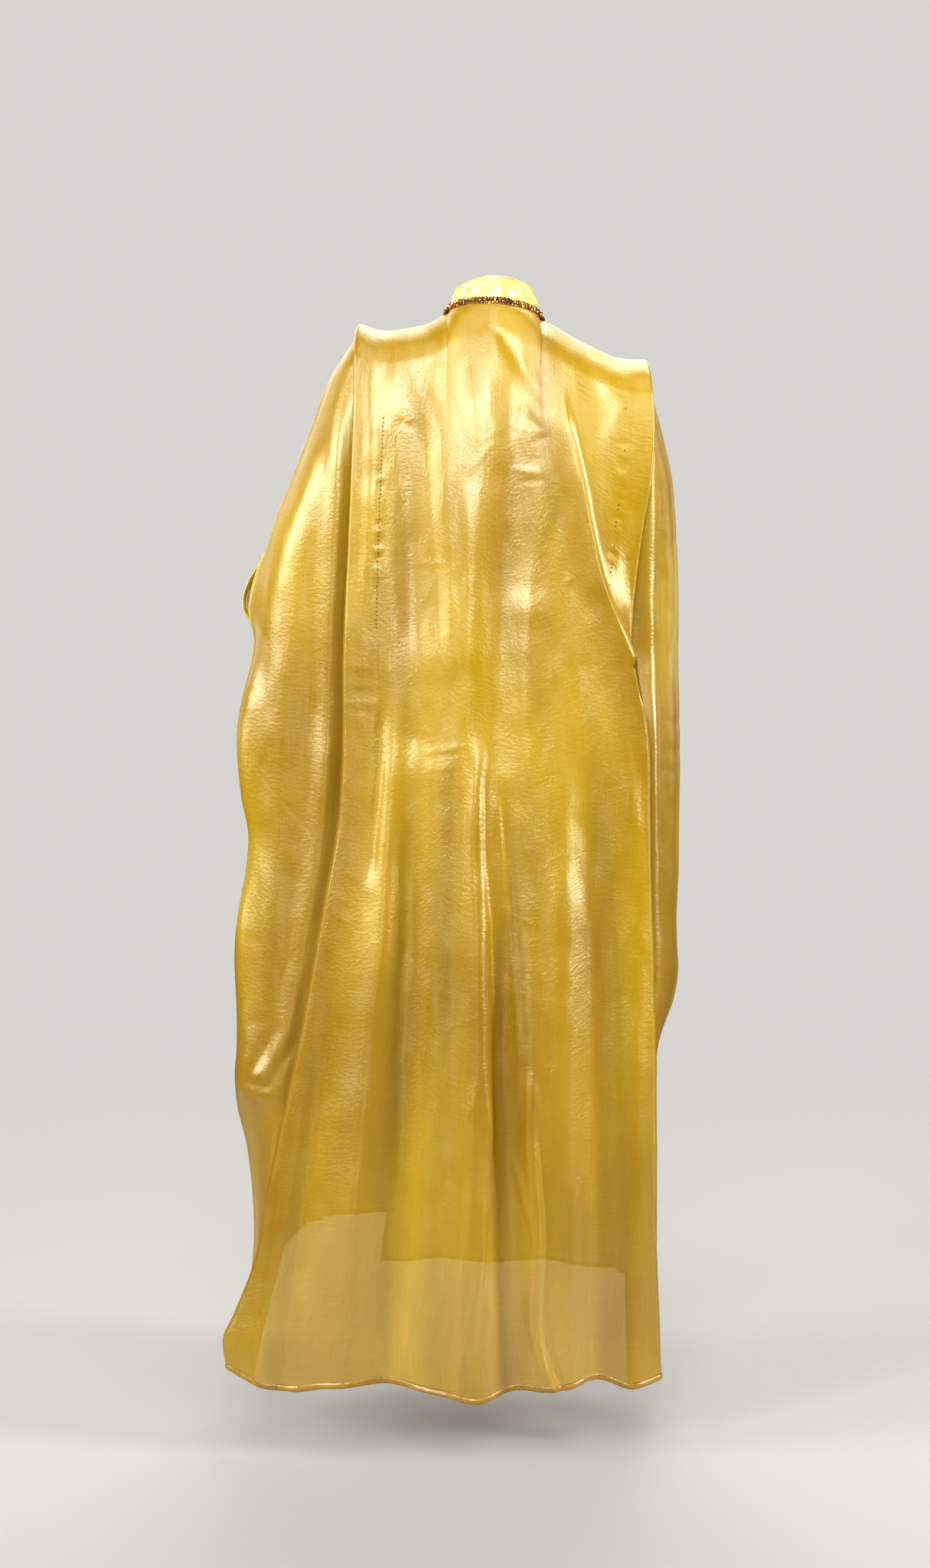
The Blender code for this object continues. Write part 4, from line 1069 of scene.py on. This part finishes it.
def pucker_relief(pucker, off, height, seed):
    """Small uneven dents on both sides of a sewn line."""
    pitch, rise, reach, top, bottom = pucker
    ends = ease((top - height) / PUCKER_FADE) * ease((height - bottom) / PUCKER_FADE)
    dents = lattice_noise(height / pitch + PUCKER_START[0], off / PUCKER_ACROSS + PUCKER_START[1], seed)
    return ends * rise * (dents - PUCKER_SINK) * np.exp(-((off / reach) ** 2))


def crest_relief(x, height):
    """The sharp crest along the slanting ridge."""
    rise, left_reach, right_reach, top, bottom = CREST
    off = x - along(BACK_RIDGE, height)
    reach = np.where(off > 0, left_reach, right_reach)
    ends = ease((top - height) / CREST_FADE) * ease((height - bottom) / CREST_FADE)
    return rise * ends * np.exp(-abs(off) / reach)


def evened(points, weight):
    """The points with their depth averaged over a short way across, below the shoulders."""
    below = ease((points[:, :1, 2] - points[..., 2] - EVENED_FROM) / EVENED_OVER)
    share = weight * below
    inside = np.flatnonzero(weight.max(axis=1) > 0)[::-1]
    result = points.copy()
    for row in range(points.shape[1]):
        x, depth = points[inside, row, 0], points[inside, row, 1]
        even_x = np.linspace(x[0], x[-1], EVENING_SAMPLES)
        step = even_x[1] - even_x[0]
        reach = int(3 * EVENING_WIDTH / step)
        kernel = np.exp(-0.5 * (np.arange(-reach, reach + 1) * step / EVENING_WIDTH) ** 2)
        padded = np.pad(np.interp(even_x, x, depth), reach, mode="reflect", reflect_type="odd")
        averaged = np.convolve(padded, kernel / kernel.sum(), mode="valid")
        result[inside, row, 1] = mix(depth, np.interp(x, even_x, averaged), share[inside, row])
    return result


def outward(points):
    """Unit normals of a grid of points."""
    across = np.gradient(points, axis=0)
    down = np.gradient(points, axis=1)
    normal = np.cross(down, across)
    return normal / np.maximum(np.linalg.norm(normal, axis=-1, keepdims=True), 1e-12)


def cloth_place(points):
    """Distance across and down the cloth of each point of a grid, for its threads."""
    across = np.linalg.norm(np.diff(points, axis=0), axis=-1)
    down = np.linalg.norm(np.diff(points, axis=1), axis=-1)
    middle = across.mean(axis=1)
    u = np.concatenate(([0.0], np.cumsum(middle)))
    v = np.concatenate((np.zeros((points.shape[0], 1)), np.cumsum(down, axis=1)), axis=1)
    return np.broadcast_to(u[:, None], v.shape), v


def new_object(name, vertices, faces, threads=None):
    """A mesh in the scene, which may carry the place of each point along its threads."""
    mesh = bpy.data.meshes.new(name)
    mesh.from_pydata(vertices.tolist(), [], faces)
    mesh.update()
    mesh.shade_smooth()
    if threads is not None:
        places = mesh.attributes.new("threads", "FLOAT_VECTOR", "POINT")
        places.data.foreach_set("vector", np.asarray(threads, np.float32).reshape(-1))
    piece = bpy.data.objects.new(name, mesh)
    bpy.context.scene.collection.objects.link(piece)
    return piece


def sheet_object(name, points, keep=None):
    """A sheet of cloth through a grid of points, without the cells that keep leaves out."""
    columns, rows = points.shape[:2]
    index = np.arange(columns * rows).reshape(columns, rows)
    cells = np.stack([index[:-1, :-1], index[:-1, 1:], index[1:, 1:], index[1:, :-1]], axis=-1)
    cells = cells[keep] if keep is not None else cells.reshape(-1, 4)
    used, renamed = np.unique(cells, return_inverse=True)
    u, v = cloth_place(points)
    place = np.stack([u, v, 0 * u], axis=-1).reshape(-1, 3)[used]
    return new_object(name, points.reshape(-1, 3)[used], renamed.reshape(-1, 4).tolist(), place)


def run_along(path):
    """Distance of each point of a path from its start."""
    return np.concatenate(([0.0], np.cumsum(np.linalg.norm(np.diff(path, axis=0), axis=1))))


def roll_object(name, path, down, normal, width, thick, seed):
    """A flat roll along an edge: an ellipse in section, a little uneven, with closed ends."""
    count = len(path)
    turn = np.linspace(0, 2 * math.pi, ROLL_SIDES, endpoint=False)
    run = run_along(path)
    across = 0 * run + ROLL_START
    twist = ROLL_TWIST * lattice_noise(run / ROLL_TWIST_LENGTH + ROLL_START, across, seed)
    puff = 1 + ROLL_PUFF * lattice_noise(run / ROLL_PUFF_LENGTH + ROLL_START, across, seed + 1)
    high = down * np.cos(twist)[:, None] + normal * np.sin(twist)[:, None]
    flat = normal * np.cos(twist)[:, None] - down * np.sin(twist)[:, None]
    middle = path + down * width / 2
    section = (
        middle[:, None]
        + high[:, None] * (np.cos(turn)[None, :, None] * width / 2)
        + flat[:, None] * (np.sin(turn)[None, :, None] * thick * puff[:, None, None])
    )
    vertices = np.concatenate([section.reshape(-1, 3), middle[:1], middle[-1:]])
    ring = np.arange(count * ROLL_SIDES).reshape(count, ROLL_SIDES)
    after = np.roll(ring, -1, axis=1)
    faces = np.stack([ring[:-1], after[:-1], after[1:], ring[1:]], axis=-1).reshape(-1, 4)
    start = [[count * ROLL_SIDES, after[0, k], ring[0, k]] for k in range(ROLL_SIDES)]
    end = [[count * ROLL_SIDES + 1, ring[-1, k], after[-1, k]] for k in range(ROLL_SIDES)]
    far = np.repeat(run, ROLL_SIDES)
    place = np.stack([far, np.tile(turn, count) * width, 0 * far], axis=-1)
    place = np.concatenate([place, [[0, 0, 0], [run[-1], 0, 0]]])
    return new_object(name, vertices, faces.tolist() + start + end, place)


def node(tree, kind, **settings):
    made = tree.nodes.new(kind)
    for name, value in settings.items():
        setattr(made, name, value)
    return made


def principled(name):
    """A new material with its node tree and its shader."""
    material = bpy.data.materials.new(name)
    material.use_nodes = True
    return material, material.node_tree, material.node_tree.nodes["Principled BSDF"]


def thread_place(tree):
    """Where a point lies across and down the cloth."""
    return node(tree, "ShaderNodeAttribute", attribute_name="threads").outputs["Vector"]


def stretched_noise(tree, place, across, down, detail):
    """Noise over the cloth, with its own scale across and down the threads."""
    mapping = node(tree, "ShaderNodeMapping")
    mapping.inputs["Scale"].default_value = (across, down, 1.0)
    noise = node(tree, "ShaderNodeTexNoise", noise_dimensions="2D")
    noise.inputs["Scale"].default_value = 1.0
    noise.inputs["Detail"].default_value = detail
    tree.links.new(place, mapping.inputs["Vector"])
    tree.links.new(mapping.outputs["Vector"], noise.inputs["Vector"])
    return noise.outputs["Fac"]


def blend_colour(tree, share, first, second):
    made = node(tree, "ShaderNodeMix", data_type="RGBA")
    for socket, value in ((made.inputs["A"], first), (made.inputs["B"], second)):
        if isinstance(value, tuple):
            socket.default_value = value
        else:
            tree.links.new(value, socket)
    tree.links.new(share, made.inputs["Factor"])
    return made.outputs["Result"]


def ramp(tree, value, low, high):
    """The value from 0 at low to 1 at high."""
    made = node(tree, "ShaderNodeMapRange", clamp=True)
    made.inputs["From Min"].default_value = low
    made.inputs["From Max"].default_value = high
    tree.links.new(value, made.inputs["Value"])
    return made.outputs["Result"]


def arithmetic(tree, operation, first, second):
    made = node(tree, "ShaderNodeMath", operation=operation)
    for socket, value in zip(made.inputs, (first, second)):
        if isinstance(value, (int, float)):
            socket.default_value = value
        else:
            tree.links.new(value, socket)
    return made.outputs[0]


def wrinkles(tree, place):
    """Scattered thin creases, as ridges of height 1."""
    mapping = node(tree, "ShaderNodeMapping")
    mapping.inputs["Scale"].default_value = WRINKLE_CELLS
    cells = node(tree, "ShaderNodeTexVoronoi", feature="DISTANCE_TO_EDGE", voronoi_dimensions="2D")
    cells.inputs["Scale"].default_value = 1.0
    tree.links.new(place, mapping.inputs["Vector"])
    tree.links.new(mapping.outputs["Vector"], cells.inputs["Vector"])
    line = ramp(tree, cells.outputs["Distance"], *WRINKLE_LINE)
    some = ramp(tree, stretched_noise(tree, place, *WRINKLED), *WRINKLED_BAND)
    return arithmetic(tree, "MULTIPLY", arithmetic(tree, "MULTIPLY", line, line), some)


def organza(name, colour, deep, pale, alpha, roughness=CLOTH_ROUGHNESS, crumpled=1.0):
    """Satin organza: lengthwise threads, uneven crosswise slubs, a fine crumple and a soft sheen."""
    material, tree, shader = principled(name)
    place = thread_place(tree)
    warp = stretched_noise(tree, place, *WARP)
    slub = ramp(tree, stretched_noise(tree, place, *SLUB), *SLUB_BAND)
    cloudy = stretched_noise(tree, place, *CLOUDY)
    tone = blend_colour(tree, ramp(tree, cloudy, *CLOUDY_BAND), deep, colour)
    tone = blend_colour(tree, arithmetic(tree, "MULTIPLY", slub, SLUB_SHARE), tone, pale)
    streak = arithmetic(tree, "MULTIPLY", ramp(tree, warp, *STREAK_BAND), STREAK_SHARE)
    tone = blend_colour(tree, streak, tone, pale)
    tree.links.new(tone, shader.inputs["Base Color"])
    gloss = arithmetic(tree, "MULTIPLY", stretched_noise(tree, place, *GLOSS), GLOSS_RANGE)
    gloss = arithmetic(tree, "ADD", gloss, roughness - GLOSS_RANGE / 2)
    tree.links.new(gloss, shader.inputs["Roughness"])
    height = arithmetic(tree, "MULTIPLY", warp, WARP_RISE)
    for pattern, rise in CLOTH_RELIEF:
        noise = stretched_noise(tree, place, *pattern)
        height = arithmetic(tree, "ADD", height, arithmetic(tree, "MULTIPLY", noise, rise))
    height = arithmetic(tree, "ADD", height, wrinkles(tree, place))
    bump = node(tree, "ShaderNodeBump")
    bump.inputs["Strength"].default_value = BUMP_STRENGTH * crumpled
    bump.inputs["Distance"].default_value = BUMP_HEIGHT
    tree.links.new(height, bump.inputs["Height"])
    tree.links.new(bump.outputs["Normal"], shader.inputs["Normal"])
    for socket, value in SATIN.items():
        shader.inputs[socket].default_value = value
    shader.inputs["Alpha"].default_value = alpha
    return material


def bead_glass(name):
    """Faceted amber and gold beads, each a little different."""
    material, tree, shader = principled(name)
    place = thread_place(tree)
    chance = node(tree, "ShaderNodeTexWhiteNoise", noise_dimensions="3D")
    tree.links.new(place, chance.inputs["Vector"])
    share = ramp(tree, chance.outputs["Value"], *BEAD_GOLD_BAND)
    tone = blend_colour(tree, share, BEAD_DARK, BEAD_BRIGHT)
    tree.links.new(tone, shader.inputs["Base Color"])
    tree.links.new(share, shader.inputs["Metallic"])
    shader.inputs["Roughness"].default_value = BEAD_ROUGHNESS
    shader.inputs["Coat Weight"].default_value = BEAD_COAT
    return material


def studio_paint(name):
    """Pale floor paint that thins out to nothing all round."""
    material, tree, shader = principled(name)
    coordinates = node(tree, "ShaderNodeTexCoord")
    distance = node(tree, "ShaderNodeVectorMath", operation="LENGTH")
    tree.links.new(coordinates.outputs["Object"], distance.inputs[0])
    solid = ramp(tree, distance.outputs["Value"], FLOOR_FADE[1], FLOOR_FADE[0])
    tree.links.new(solid, shader.inputs["Alpha"])
    shader.inputs["Base Color"].default_value = FLOOR_GREY
    shader.inputs["Roughness"].default_value = FLOOR_ROUGHNESS
    return material


def studio_air():
    """A pale surround to look at, which hardly shows in the satin."""
    world = bpy.data.worlds.new("studio")
    world.use_nodes = True
    tree = world.node_tree
    dim = tree.nodes["Background"]
    dim.inputs["Color"].default_value = DIM_AIR
    dim.inputs["Strength"].default_value = DIM_AIR_STRENGTH
    pale = node(tree, "ShaderNodeBackground")
    pale.inputs["Color"].default_value = WALL_GREY
    either = node(tree, "ShaderNodeMixShader")
    looked_at = node(tree, "ShaderNodeLightPath").outputs["Is Camera Ray"]
    tree.links.new(looked_at, either.inputs[0])
    tree.links.new(dim.outputs[0], either.inputs[1])
    tree.links.new(pale.outputs[0], either.inputs[2])
    tree.links.new(either.outputs[0], tree.nodes["World Output"].inputs["Surface"])
    bpy.context.scene.world = world


def finish_piece(piece, slot, material, *nodes):
    piece.data.materials.append(material)
    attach(piece, "root")
    if nodes:
        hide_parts(*nodes)
    return piece


def edge_frame(points):
    """The last row of a grid with its downward direction and normal."""
    path = points[:, -1]
    down = points[:, -1] - points[:, -2]
    down = down / np.linalg.norm(down, axis=1, keepdims=True)
    normal = outward(points)[:, -1]
    return path, down, normal


def add_hem(name, points, material, seed):
    path, down, normal = edge_frame(points)
    path = path + down * HEM_GAP * HEM_SEAT
    hem = roll_object(f"{name}_rolled", path, down, normal, HEM_HEIGHT, HEM_THICK, seed)
    return finish_piece(hem, "rolled_hem", material, name)


def faded_sides(weight):
    """The weights of a panel's columns, averaged over their neighbours."""
    size = 2 * RELIEF_FADE_COLUMNS + 1
    wide = np.pad(weight, RELIEF_FADE_COLUMNS, mode="edge")
    return np.convolve(wide, np.ones(size) / size, mode="valid")[:, None]


def below_top(points, reach):
    """0 along the top edge of a grid of points, 1 from a reach below it."""
    return ease((points[:, :1, 2] - points[..., 2]) / reach)


def add_back(materials):
    high = np.linspace(0, BACK_HIGH_SHARE, BACK_ROWS_HIGH, endpoint=False)
    low = np.linspace(BACK_HIGH_SHARE, 1, BACK_ROWS_LOW)
    points = back_points(np.concatenate([high, low]))
    x, height = points[..., 0], points[..., 2]
    outer = np.array([float(zone in ("face", "gore")) for zone, _ in BACK_STATIONS])
    face = np.array([float(zone == "face" and way < EVENED_SHARE) for zone, way in BACK_STATIONS])
    points = evened(points, face[:, None] * ease((height - EVENED_DOWN_TO) / EVENED_FADE))
    lift = line_relief(BACK_LINES, x, height) + crease_relief(BACK_CREASES, x, height)
    lift += crest_relief(x, height)
    lift += undulation(x, height, seed=11)
    left_sewn = x - along(BACK_LEFT_FOLD, height, 2)
    right_sewn = x - along(BACK_RIGHT_FOLD, height, 2)
    lift += pucker_relief(LEFT_PUCKER, left_sewn, height, seed=21)
    lift += pucker_relief(RIGHT_PUCKER, right_sewn, height, seed=22)
    lift *= faded_sides(outer) * below_top(points, RELIEF_FROM)
    points = points + outward(points) * lift[..., None]
    back = sheet_object("back_panel", points)
    finish_piece(back, "organza", materials["organza"], "back")
    hem = add_hem("hem_back", points, materials["hem"], seed=31)
    shown = points[1 + 2 * (EDGE_STEPS + 1) :]
    left = add_stitches("stitches_left", shown, BACK_LEFT_FOLD, STITCHED_LEFT, materials["thread"], seed=33)
    right = add_stitches(
        "stitches_right", shown, BACK_RIGHT_FOLD, STITCHED_RIGHT, materials["thread"], seed=34
    )
    return back, hem, left, right


def add_stitches(name, points, line, span, material, seed):
    """Short uneven stitches that hold a tuck, along a line down the cloth."""
    chance = np.random.default_rng(seed)
    normals = outward(points)
    vertices, faces, places = [], [], []
    heights = np.arange(span[0], span[1], -STITCH_PITCH)
    sides = STITCH_SIDES
    turns = 2 * math.pi * np.arange(sides) / sides
    for number, height in enumerate(heights):
        across = float(along(line, height, 2)) + chance.uniform(-STITCH_DRIFT, STITCH_DRIFT)
        near = np.argmin((points[..., 0] - across) ** 2 + (points[..., 2] - height) ** 2)
        column, row = np.unravel_index(near, points.shape[:2])
        normal = normals[column, row]
        middle = points[column, row] + normal * STITCH_LIFT
        middle = middle + np.array([across - points[column, row, 0], 0, height - points[column, row, 2]])
        lean = chance.uniform(-STITCH_LEAN, STITCH_LEAN)
        run = np.array([math.sin(lean), 0.0, math.cos(lean)])
        side = np.cross(run, normal)
        ring = np.cos(turns)[:, None] * side + np.sin(turns)[:, None] * normal
        half = run * (STITCH_LENGTH / 2 * chance.uniform(*STITCH_SIZES))
        rings = [middle + sign * half * STITCH_FULL + ring * STITCH_RADIUS for sign in (1, -1)]
        first = number * (2 * sides + 2)
        top, bottom = first + 2 * sides, first + 2 * sides + 1
        vertices += [*rings[0], *rings[1], middle + half, middle - half]
        for k in range(sides):
            above, above_next = first + k, first + (k + 1) % sides
            below, below_next = above + sides, above_next + sides
            faces += [(above, below, below_next), (above, below_next, above_next)]
            faces += [(top, above, above_next), (bottom, below_next, below)]
        places += [(height, across, 0.0)] * (2 * sides + 2)
    stitches = new_object(name, np.array(vertices), faces, places)
    return finish_piece(stitches, "rolled_hem", material)


def add_front(is_left, materials):
    side = "left" if is_left else "right"
    points = front_points(np.linspace(0, 1, FRONT_ROWS_FINE), is_left)
    x, height = points[..., 0], points[..., 2]
    outer = np.array([float(zone == "face") for zone, _ in FRONT_STATIONS])
    lift = line_relief(FRONT_LINES, x, height) + undulation(x, height, seed=41)
    edge = along(FRONT_FOLDS, height, 1 if is_left else 2)
    sewn = x - edge + (1 if is_left else -1) * along(FRONT_FOLDS, height, 3)
    lift += pucker_relief(LEFT_PUCKER if is_left else RIGHT_PUCKER, sewn, height, seed=42)
    lift *= faded_sides(outer) * below_top(points, RELIEF_FROM)
    normal = outward(points) * (-1 if is_left else 1)
    points = points + normal * lift[..., None]
    front = sheet_object(f"front_panel_{side}", points)
    finish_piece(front, "organza", materials["organza"], f"front_{side}")
    hem = add_hem(f"hem_front_{side}", points, materials["hem"], seed=51 if is_left else 52)
    path, out, normal = edge_frame(np.transpose(points, (1, 0, 2)))
    path, thick = path - out * EDGE_WIDTH, HEM_THICK * EDGE_THICK_SHARE
    edge = roll_object(f"front_edge_{side}", path, out, normal, EDGE_WIDTH, thick, seed=53)
    return front, hem, finish_piece(edge, "rolled_hem", materials["hem"])


def add_sleeve(is_left, materials):
    side = "left" if is_left else "right"
    rows = np.arange(SLEEVE_ROWS * SLEEVE_FINER_ROWS + 1) / SLEEVE_FINER_ROWS
    columns = sleeve_columns()
    points = np.stack([sleeve_column(column, row_share(rows), is_left) for column in columns])
    x, height = points[..., 0], points[..., 2]
    around = math.pi * (np.array(columns) - 1) / SLEEVE_STEPS
    behind = ease(np.cos(around) / FACE_TURN)[:, None]
    front = ease(-np.cos(around) / FACE_TURN)[:, None]
    beside = ease(np.sin(around) / SIDE_TURN)[:, None]
    back_lines, front_lines, side_lines, creases = SLEEVE_FOLDS[is_left]
    lift = behind * (line_relief(back_lines, x, height) + crease_relief(creases, x, height))
    lift += front * line_relief(front_lines, x, height)
    lift += beside * line_relief(side_lines, points[..., 1], height)
    lift += mix(SIDE_UNDULATION, 1.0, behind + front) * undulation(x, height, seed=61 if is_left else 62)
    from_left = np.arange(len(columns))
    inside = ease(np.minimum(from_left, from_left[::-1]) / SLEEVE_FADE_COLUMNS)[:, None]
    lift *= inside * below_top(points, SLEEVE_RELIEF_FROM)
    normal = outward(points) * (1 if is_left else -1)
    points = points + normal * lift[..., None]
    first, last = cuff_rows(is_left)
    place = np.array(columns[:-1])
    across = (place >= CUFF_COLUMNS[0]) & (place < CUFF_COLUMNS[1])
    down = (rows[:-1] >= first) & (rows[:-1] < last)
    sleeve = sheet_object(f"sleeve_panel_{side}", points, keep=~(across[:, None] & down[None, :]))
    finish_piece(sleeve, "organza", materials["organza"], f"sleeve_{side}")
    hem = add_hem(f"hem_sleeve_{side}", points, materials["hem"], seed=63 if is_left else 64)
    left, right = (columns.index(column) for column in CUFF_COLUMNS)
    top, bottom = first * SLEEVE_FINER_ROWS, last * SLEEVE_FINER_ROWS
    cuff = add_cuff(side, points, normal, (left, right, top, bottom), materials)
    return sleeve, hem, cuff


def add_cuff(side, points, normal, opening, materials):
    """A narrow rolled band round the cuff opening, in a satin painted paler to lighten the shade it sits in.
    """
    left, right, top, bottom = opening
    loop = [(c, top) for c in range(left, right)]
    loop += [(right, r) for r in range(top, bottom)]
    loop += [(c, bottom) for c in range(right, left, -1)]
    loop += [(left, r) for r in range(bottom, top - 1, -1)]
    path = np.array([points[c, r] for c, r in loop])
    out = np.array([normal[c, r] for c, r in loop])
    middle = path.mean(axis=0)
    ahead = np.gradient(path, axis=0)
    inward = np.cross(ahead, out)
    inward = inward / np.maximum(np.linalg.norm(inward, axis=1, keepdims=True), 1e-9)
    inward = inward * np.sign(np.sum(inward * (middle - path), axis=1, keepdims=True))
    thick = HEM_THICK * BAND_THICK_SHARE
    band = roll_object(f"cuff_band_{side}", path, inward, out, CUFF_BAND, thick, seed=71)
    return finish_piece(band, "rolled_hem", materials["cuff"], f"cuff_{side}")


def collar_height(angle):
    """Height of the collar above the neck ring: tall at the back and right, lower at the left."""
    height = mix(COLLAR_FRONT, COLLAR_BACK, 0.5 + 0.5 * np.cos(angle))
    return height - COLLAR_LEFT_DIP * ease(np.sin(angle))


def neck_angles(count):
    gap = NECK_OPENING / 2 / NECK_FRONT
    return np.linspace(math.pi - gap, gap - math.pi, count)


def add_collar(materials):
    angle = neck_angles(COLLAR_COLUMNS)[:, None]
    share = np.linspace(0, 1, COLLAR_ROWS)[None, :]
    x, y, z = (value + 0 * share for value in neck_point(angle))
    rise = WALL / 2 + SEAM + collar_height(angle) * share
    swell, number, lean, up = COLLAR_CRUMPLE
    round_it = angle * number + COLLAR_START[0] + lean * share
    wave = swell * lattice_noise(round_it, share * up + COLLAR_START[1], seed=81)
    for swell, number, lean, start, fade in COLLAR_WAVES:
        wave += swell * np.sin(number * angle + lean * share + start) * np.sin(math.pi * share) ** fade
    out = np.stack([np.sin(angle) + 0 * share, np.cos(angle) + 0 * share, 0 * rise], axis=-1)
    base = np.stack([x, y, z + rise], axis=-1)
    points = base + out * (wave - COLLAR_LEAN * rise)[..., None]
    collar = sheet_object("stand_collar", points)
    finish_piece(collar, "collar_organza", materials["collar"], "collar")
    path, down, normal = edge_frame(points)
    path = path - down * COLLAR_EDGE_SEAT
    edge = roll_object("collar_edge", path, down, normal, COLLAR_EDGE_HEIGHT, COLLAR_EDGE_THICK, seed=82)
    return collar, finish_piece(edge, "collar_organza", materials["collar"])


def bead_shape():
    """A small faceted bead: three rings of points between two ends."""
    vertices, faces = [], []
    sides = BEAD_SIDES
    for height, turn in BEAD_RINGS:
        radius = math.sqrt(1 - height * height)
        for k in range(sides):
            angle = 2 * math.pi * (k + turn) / sides
            vertices.append((radius * math.cos(angle), radius * math.sin(angle), height))
    vertices += [(0, 0, 1), (0, 0, -1)]
    last = (len(BEAD_RINGS) - 1) * sides
    for above in range(0, last, sides):
        below = above + sides
        for k in range(sides):
            after = (k + 1) % sides
            faces.append((above + k, below + k, below + after))
            faces.append((above + k, below + after, above + after))
    for k in range(sides):
        after = (k + 1) % sides
        faces.append((last + sides, k, after))
        faces.append((last + sides + 1, last + after, last + k))
    return np.array(vertices), np.array(faces)


def add_beads(materials):
    """Staggered rows of beads in the corner between collar and neckline."""
    chance = np.random.default_rng(91)
    shape, shape_faces = bead_shape()
    ring = neck_angles(NECK_FINE)
    x, y, z = neck_point(ring)
    run = run_along(np.stack([x, y, z], axis=-1))
    vertices, faces, places = [], [], []
    for row, (out, up) in enumerate(BEAD_ROWS):
        start = BEAD_PITCH * (0.5 + 0.5 * row)
        for number, at in enumerate(np.arange(start, run[-1] - BEAD_PITCH / 2, BEAD_PITCH)):
            angle = float(np.interp(at, run, ring))
            px, py, pz = (float(v) for v in neck_point(np.array(angle)))
            wide = out + chance.uniform(-BEAD_JITTER, BEAD_JITTER)
            lift = up + chance.uniform(-BEAD_JITTER, BEAD_JITTER)
            middle = np.array([px + math.sin(angle) * wide, py + math.cos(angle) * wide, pz + lift])
            size = BEAD_RADIUS * chance.uniform(*BEAD_SIZES)
            turned = shape @ rotation(chance.uniform(0, 2 * math.pi, 3))
            faces += (shape_faces + len(vertices) * len(shape)).tolist()
            vertices.append(middle + turned * size)
            tone = (number * BEAD_TONE_STEPS[0] + 0.5, row * BEAD_TONE_STEPS[1] + 0.5, 0.5)
            places.append(np.tile(tone, (len(shape), 1)))
    beads = new_object("neck_beads", np.concatenate(vertices), faces, np.concatenate(places))
    beads.data.shade_flat()
    return finish_piece(beads, "bead_trim", materials["beads"], "neck_trim")


def rotation(angles):
    a, b, c = angles
    about_x = np.array([[1, 0, 0], [0, math.cos(a), -math.sin(a)], [0, math.sin(a), math.cos(a)]])
    about_y = np.array([[math.cos(b), 0, math.sin(b)], [0, 1, 0], [-math.sin(b), 0, math.cos(b)]])
    about_z = np.array([[math.cos(c), -math.sin(c), 0], [math.sin(c), math.cos(c), 0], [0, 0, 1]])
    return about_x @ about_y @ about_z


def make_camera():
    data = bpy.data.cameras.new("camera")
    data.lens = LENS
    data.sensor_width = SENSOR
    data.sensor_fit = "AUTO"
    camera = bpy.data.objects.new("camera", data)
    camera.location = CAMERA_PLACE
    camera.rotation_euler = (math.radians(90 - CAMERA_PITCH), 0, math.pi)
    bpy.context.scene.collection.objects.link(camera)
    bpy.context.scene.camera = camera


def area_light(name, place, target, size, power, colour, spread):
    data = bpy.data.lights.new(name, "AREA")
    data.shape = "RECTANGLE"
    data.size, data.size_y = size
    data.energy = power
    data.color = colour
    data.spread = math.radians(spread)
    light = bpy.data.objects.new(name, data)
    light.location = place
    light.rotation_euler = (Vector(target) - Vector(place)).to_track_quat("-Z", "Y").to_euler()
    light.visible_camera = False
    bpy.context.scene.collection.objects.link(light)


def make_studio():
    """A pale round floor and soft lights all round, the strongest on the camera's side."""
    corners = [(FLOOR_REACH * a, FLOOR_REACH * b, 0) for a, b in ((-1, -1), (1, -1), (1, 1), (-1, 1))]
    floor = new_object("studio_floor", np.array(corners), [(0, 1, 2, 3)])
    floor.location = (0, 0, FLOOR)
    floor.data.materials.append(studio_paint("studio_paint"))
    for light in LIGHTS:
        area_light(*light)
    studio_air()
    bpy.context.scene.view_settings.view_transform = "Standard"
    bpy.context.scene.view_settings.look = "High Contrast"
    bpy.context.scene.view_settings.exposure = EXPOSURE


make_camera()
make_studio()
finishes = {
    "organza": organza("gold_organza", GOLD, DEEP_GOLD, PALE_GOLD, CLOTH_ALPHA),
    "collar": organza(
        "collar_satin", COLLAR_PALE, COLLAR_GOLD, COLLAR_PALE, COLLAR_ALPHA, crumpled=COLLAR_CRUMPLED
    ),
    "hem": organza("hem_satin", HEM_GOLD, DEEP_GOLD, PALE_GOLD, HEM_ALPHA, HEM_ROUGHNESS),
    # The cuff band's satin is painted paler than the other rolled hems, to lighten the shade it sits in at
    # the cuff opening.
    "cuff": organza("cuff_satin_painted_paler", PALE_GOLD, GOLD, PALE_GOLD, CUFF_ALPHA),
    "beads": bead_glass("amber_beads"),
    "thread": organza("sewing_thread", THREAD, THREAD, HEM_GOLD, 1.0, THREAD_ROUGHNESS),
}
back_pieces = add_back(finishes)
front_pieces = [add_front(is_left, finishes) for is_left in (True, False)]
sleeve_pieces = [add_sleeve(is_left, finishes) for is_left in (True, False)]
collar_pieces = add_collar(finishes)
bead_piece = add_beads(finishes)
